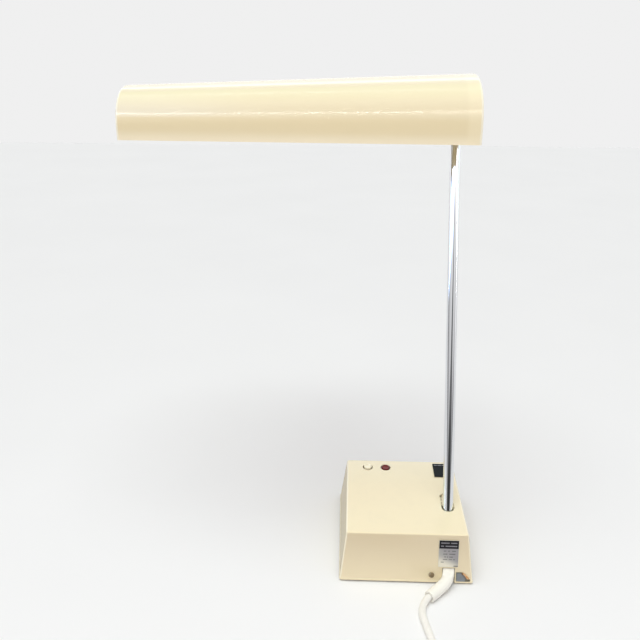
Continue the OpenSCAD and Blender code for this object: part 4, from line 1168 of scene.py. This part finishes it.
def make_torn_foil():
    """What is left of a torn sticker: grey foil with darker borders, torn along a brown slope."""
    made = Finish("torn_foil", (132, 137, 142), 0.38, metal=0.4, drift=(0.4, 160),
                  mark=(0.3, 260, (164, 170, 168)), grain=(1200, 0.05))
    t = made.t
    x, y = face_coordinates(t, on_rear(FOIL_X, FOIL_Z))
    border = t.minus(1.0, box_mask(t, x, y, -12, 6.7, -4.3, 12, 0.4))
    made.paint(border, (92, 98, 88), 0.6, share=0.7)
    ragged = t.times(t.minus(t.noise(t.place(), 700.0, 3.0), 0.5), 0.0022)
    along = t.plus(t.plus(t.times(x, 0.8), t.times(y, 0.6)), ragged)
    made.paint(t.step(along, 0.0006, -0.0014), (96, 88, 74), 0.6, share=0.6)
    specks = t.times(t.step(t.noise(t.place(), 1100.0, 2.0), 0.52, 0.6), 0.8)
    torn = t.mix(specks, colour(220, 162, 104), colour(240, 220, 184))
    made.paint(t.step(along, -0.0019, -0.0024), torn, 0.7)
    made.paint(t.step(along, -0.0042, -0.005), (244, 226, 190), 0.7)
    corner = t.times(t.step(t.plus(y, ragged), 0.0024, 0.0032), t.step(x, -0.002, -0.003))
    made.paint(corner, (116, 110, 94), 0.6)
    made.paint(box_mask(t, x, y, 0.0, 1.5, -4.6, -2.4, 0.5), (122, 90, 60), 0.6)
    return made


make_torn_foil().on("foil_sticker")


# Floor, lamps and surroundings

FLOOR_HALF = 4000
FLOOR_TONES = ((240, 240, 239), (244, 244, 243))
BACKDROP = 0.87
AMBIENT = 0.48
AMBIENT_TINT = (1.0, 0.955, 0.97)

# The room as shiny faces see it low down: degrees of height, and brightness
ROOM = (
    (3, 0.36), (8, 0.6), (11, 0.75), (15, 0.77), (20, 0.95), (24, 1.1), (28, 1.35), (31, 1.35),
    (35, 0.4),
)
FAR_SIDE = ((74, 0.0), (88, 1.0))
FAR_SIDE_TURN = 13.0
FAR_SIDE_LEVEL = 1.1

# A dark patch behind the camera: its brightness, and half its width in degrees, by height
DARK_PATCH = (
    (5, 0.045), (8, 0.08), (11, 0.16), (20, 0.2), (23, 0.4), (26, 0.6), (28.5, 1.35), (31, 1.35),
    (35, 0.4),
)
DARK_PATCH_HALF = ((3, 27.0), (8, 25.0), (11, 23.0), (14, 17.0), (20, 12.0), (27, 11.0))
DARK_PATCH_TURN = -3.0
DARK_PATCH_SOFT = 3.5

# The ceiling in red, green and blue, by degrees from the camera's side over the top
CEILING_START = (33.0, 34.5)
CEILING = (
    (36.0, (0.55, 0.58, 0.62)), (53.0, (0.8, 0.83, 0.83)), (68.0, (0.88, 1.02, 0.95)),
    (80.0, (1.05, 1.3, 0.95)), (93.0, (1.15, 1.6, 1.15)), (106.0, (1.25, 1.75, 1.4)),
    (117.0, (1.2, 1.65, 1.2)), (131.0, (0.75, 1.00, 0.7)), (135.9, (0.95, 1.35, 1.25)),
    (138.3, (0.65, 0.9, 0.9)), (139.2, (1.3, 1.55, 1.55)), (140.0, (1.85, 2.3, 2.4)),
    (140.8, (2.3, 2.7, 3.1)), (145.0, (2.00, 2.3, 2.4)), (160.0, (0.5, 0.5, 0.5)),
)

# A bluish window at the right, by the same degrees, and two strip lamps: angle, half width, power
WINDOW = ((46, 2.4), (68, 1.4), (90, 1.0), (112, 0.0))
WINDOW_TINT = (0.28, 0.52, 1.0)
WINDOW_START = (23.0, 26.0)
WINDOW_SIDE = (0.19, 0.35)
WHOLE_STRIP = (34.4, 0.7, 18.0)
BROKEN_STRIP = (105.0, 1.6, 5.0)


def make_floor():
    shape = bmesh.new()
    bmesh.ops.create_grid(shape, x_segments=1, y_segments=1, size=FLOOR_HALF)
    floor = finish_shape(shape, "floor")
    material = bpy.data.materials.new("pale_floor")
    material.use_nodes = True
    t = Tree(material.node_tree)
    shader = material.node_tree.nodes["Principled BSDF"]
    tone = t.mix(t.noise(t.place(), 3.0, 3.0), *(colour(*tone) for tone in FLOOR_TONES))
    t.put(tone, shader.inputs["Base Color"])
    shader.inputs["Roughness"].default_value = 0.55
    shader.inputs["Specular IOR Level"].default_value = 0.0
    floor.data.materials.append(material)


def add_lamp(name, kind, place, aim, power, tint, **form):
    """A soft lamp. Shiny faces reflect the world instead of it."""
    data = bpy.data.lights.new(name, kind)
    for key, value in form.items():
        setattr(data, key, value)
    data.energy = power
    data.color = tint
    lamp = bpy.data.objects.new(name, data)
    scene.collection.objects.link(lamp)
    lamp.location = place
    lamp.rotation_euler = (Vector(aim) - Vector(place)).to_track_quat("-Z", "Y").to_euler()
    lamp.visible_glossy = False


def ramp(t, value, points):
    """Straight lines through (value, result) points."""
    total = points[0][1]
    for (x0, y0), (x1, y1) in zip(points, points[1:]):
        part = t.node("ShaderNodeMapRange", inputs={
            "Value": value, "From Min": x0, "From Max": x1, "To Min": 0.0, "To Max": y1 - y0})
        total = t.plus(total, part.outputs["Result"])
    return total


def make_world():
    """Even soft light. Shiny faces see a room, a window, strip lamps and a dark patch instead."""
    world = bpy.data.worlds.new("studio")
    scene.world = world
    world.use_nodes = True
    t = Tree(world.node_tree)
    parts = t.split(t.node("ShaderNodeTexCoord").outputs["Generated"])
    degrees = 180 / math.pi
    level = t.times(t.math("ARCSINE", parts["Z"]), degrees)
    turn = t.times(t.math("ARCTAN2", parts["X"], parts["Y"]), degrees)
    over = t.times(t.math("ARCTAN2", parts["Z"], parts["Y"]), degrees)

    far_side = ramp(t, t.absolute(t.minus(turn, FAR_SIDE_TURN)), FAR_SIDE)
    room = t.most(ramp(t, level, ROOM), t.times(far_side, FAR_SIDE_LEVEL))
    off = t.absolute(t.minus(turn, DARK_PATCH_TURN))
    within = t.minus(ramp(t, level, DARK_PATCH_HALF), off)
    inside = t.step(within, -DARK_PATCH_SOFT, DARK_PATCH_SOFT)
    low = t.between(inside, room, ramp(t, level, DARK_PATCH))

    window = t.times(t.step(parts["X"], *WINDOW_SIDE), t.step(over, *WINDOW_START))
    window = t.times(window, ramp(t, over, WINDOW))
    broken = t.step(t.noise(parts["X"], 80.0, 1.0), 0.45, 0.62)
    strips = 0.0
    for (middle, half, power), share in ((WHOLE_STRIP, 1.0), (BROKEN_STRIP, broken)):
        away = t.absolute(t.minus(over, middle))
        strip = t.times(t.step(away, half, half * 0.5), t.times(share, power))
        strips = t.plus(strips, strip)
    mirrored = []
    for channel, tint in enumerate(WINDOW_TINT):
        ceiling = ramp(t, over, tuple((angle, levels[channel]) for angle, levels in CEILING))
        high = t.times(t.step(over, *CEILING_START), ceiling)
        seen_there = t.plus(t.most(low, high), t.times(window, tint))
        mirrored.append(t.plus(seen_there, strips))
    mirrored = t.node("ShaderNodeCombineXYZ", inputs=dict(enumerate(mirrored))).outputs[0]

    path = t.node("ShaderNodeLightPath").outputs
    seen = t.most(path["Is Camera Ray"], path["Is Transmission Ray"])
    ambient = tuple(AMBIENT * c for c in AMBIENT_TINT) + (1.0,)
    plain = t.mix(seen, ambient, (BACKDROP, BACKDROP, BACKDROP, 1.0))
    back = world.node_tree.nodes["Background"]
    t.put(t.mix(path["Is Glossy Ray"], plain, mirrored), back.inputs["Color"])


make_floor()
make_world()
add_lamp("overhead", "SUN", (0.1, 0.14, 0.98), (0, 0, 0), 1.6, (0.94, 1.0, 1.0),
         angle=math.radians(50))
add_lamp("fill_rear", "AREA", (0.12, 1.0, 0.78), (0.05, -0.1, 0.45), 2.2, (1.0, 0.965, 0.965),
         shape="SQUARE", size=0.5)
scene.view_settings.view_transform = "Standard"
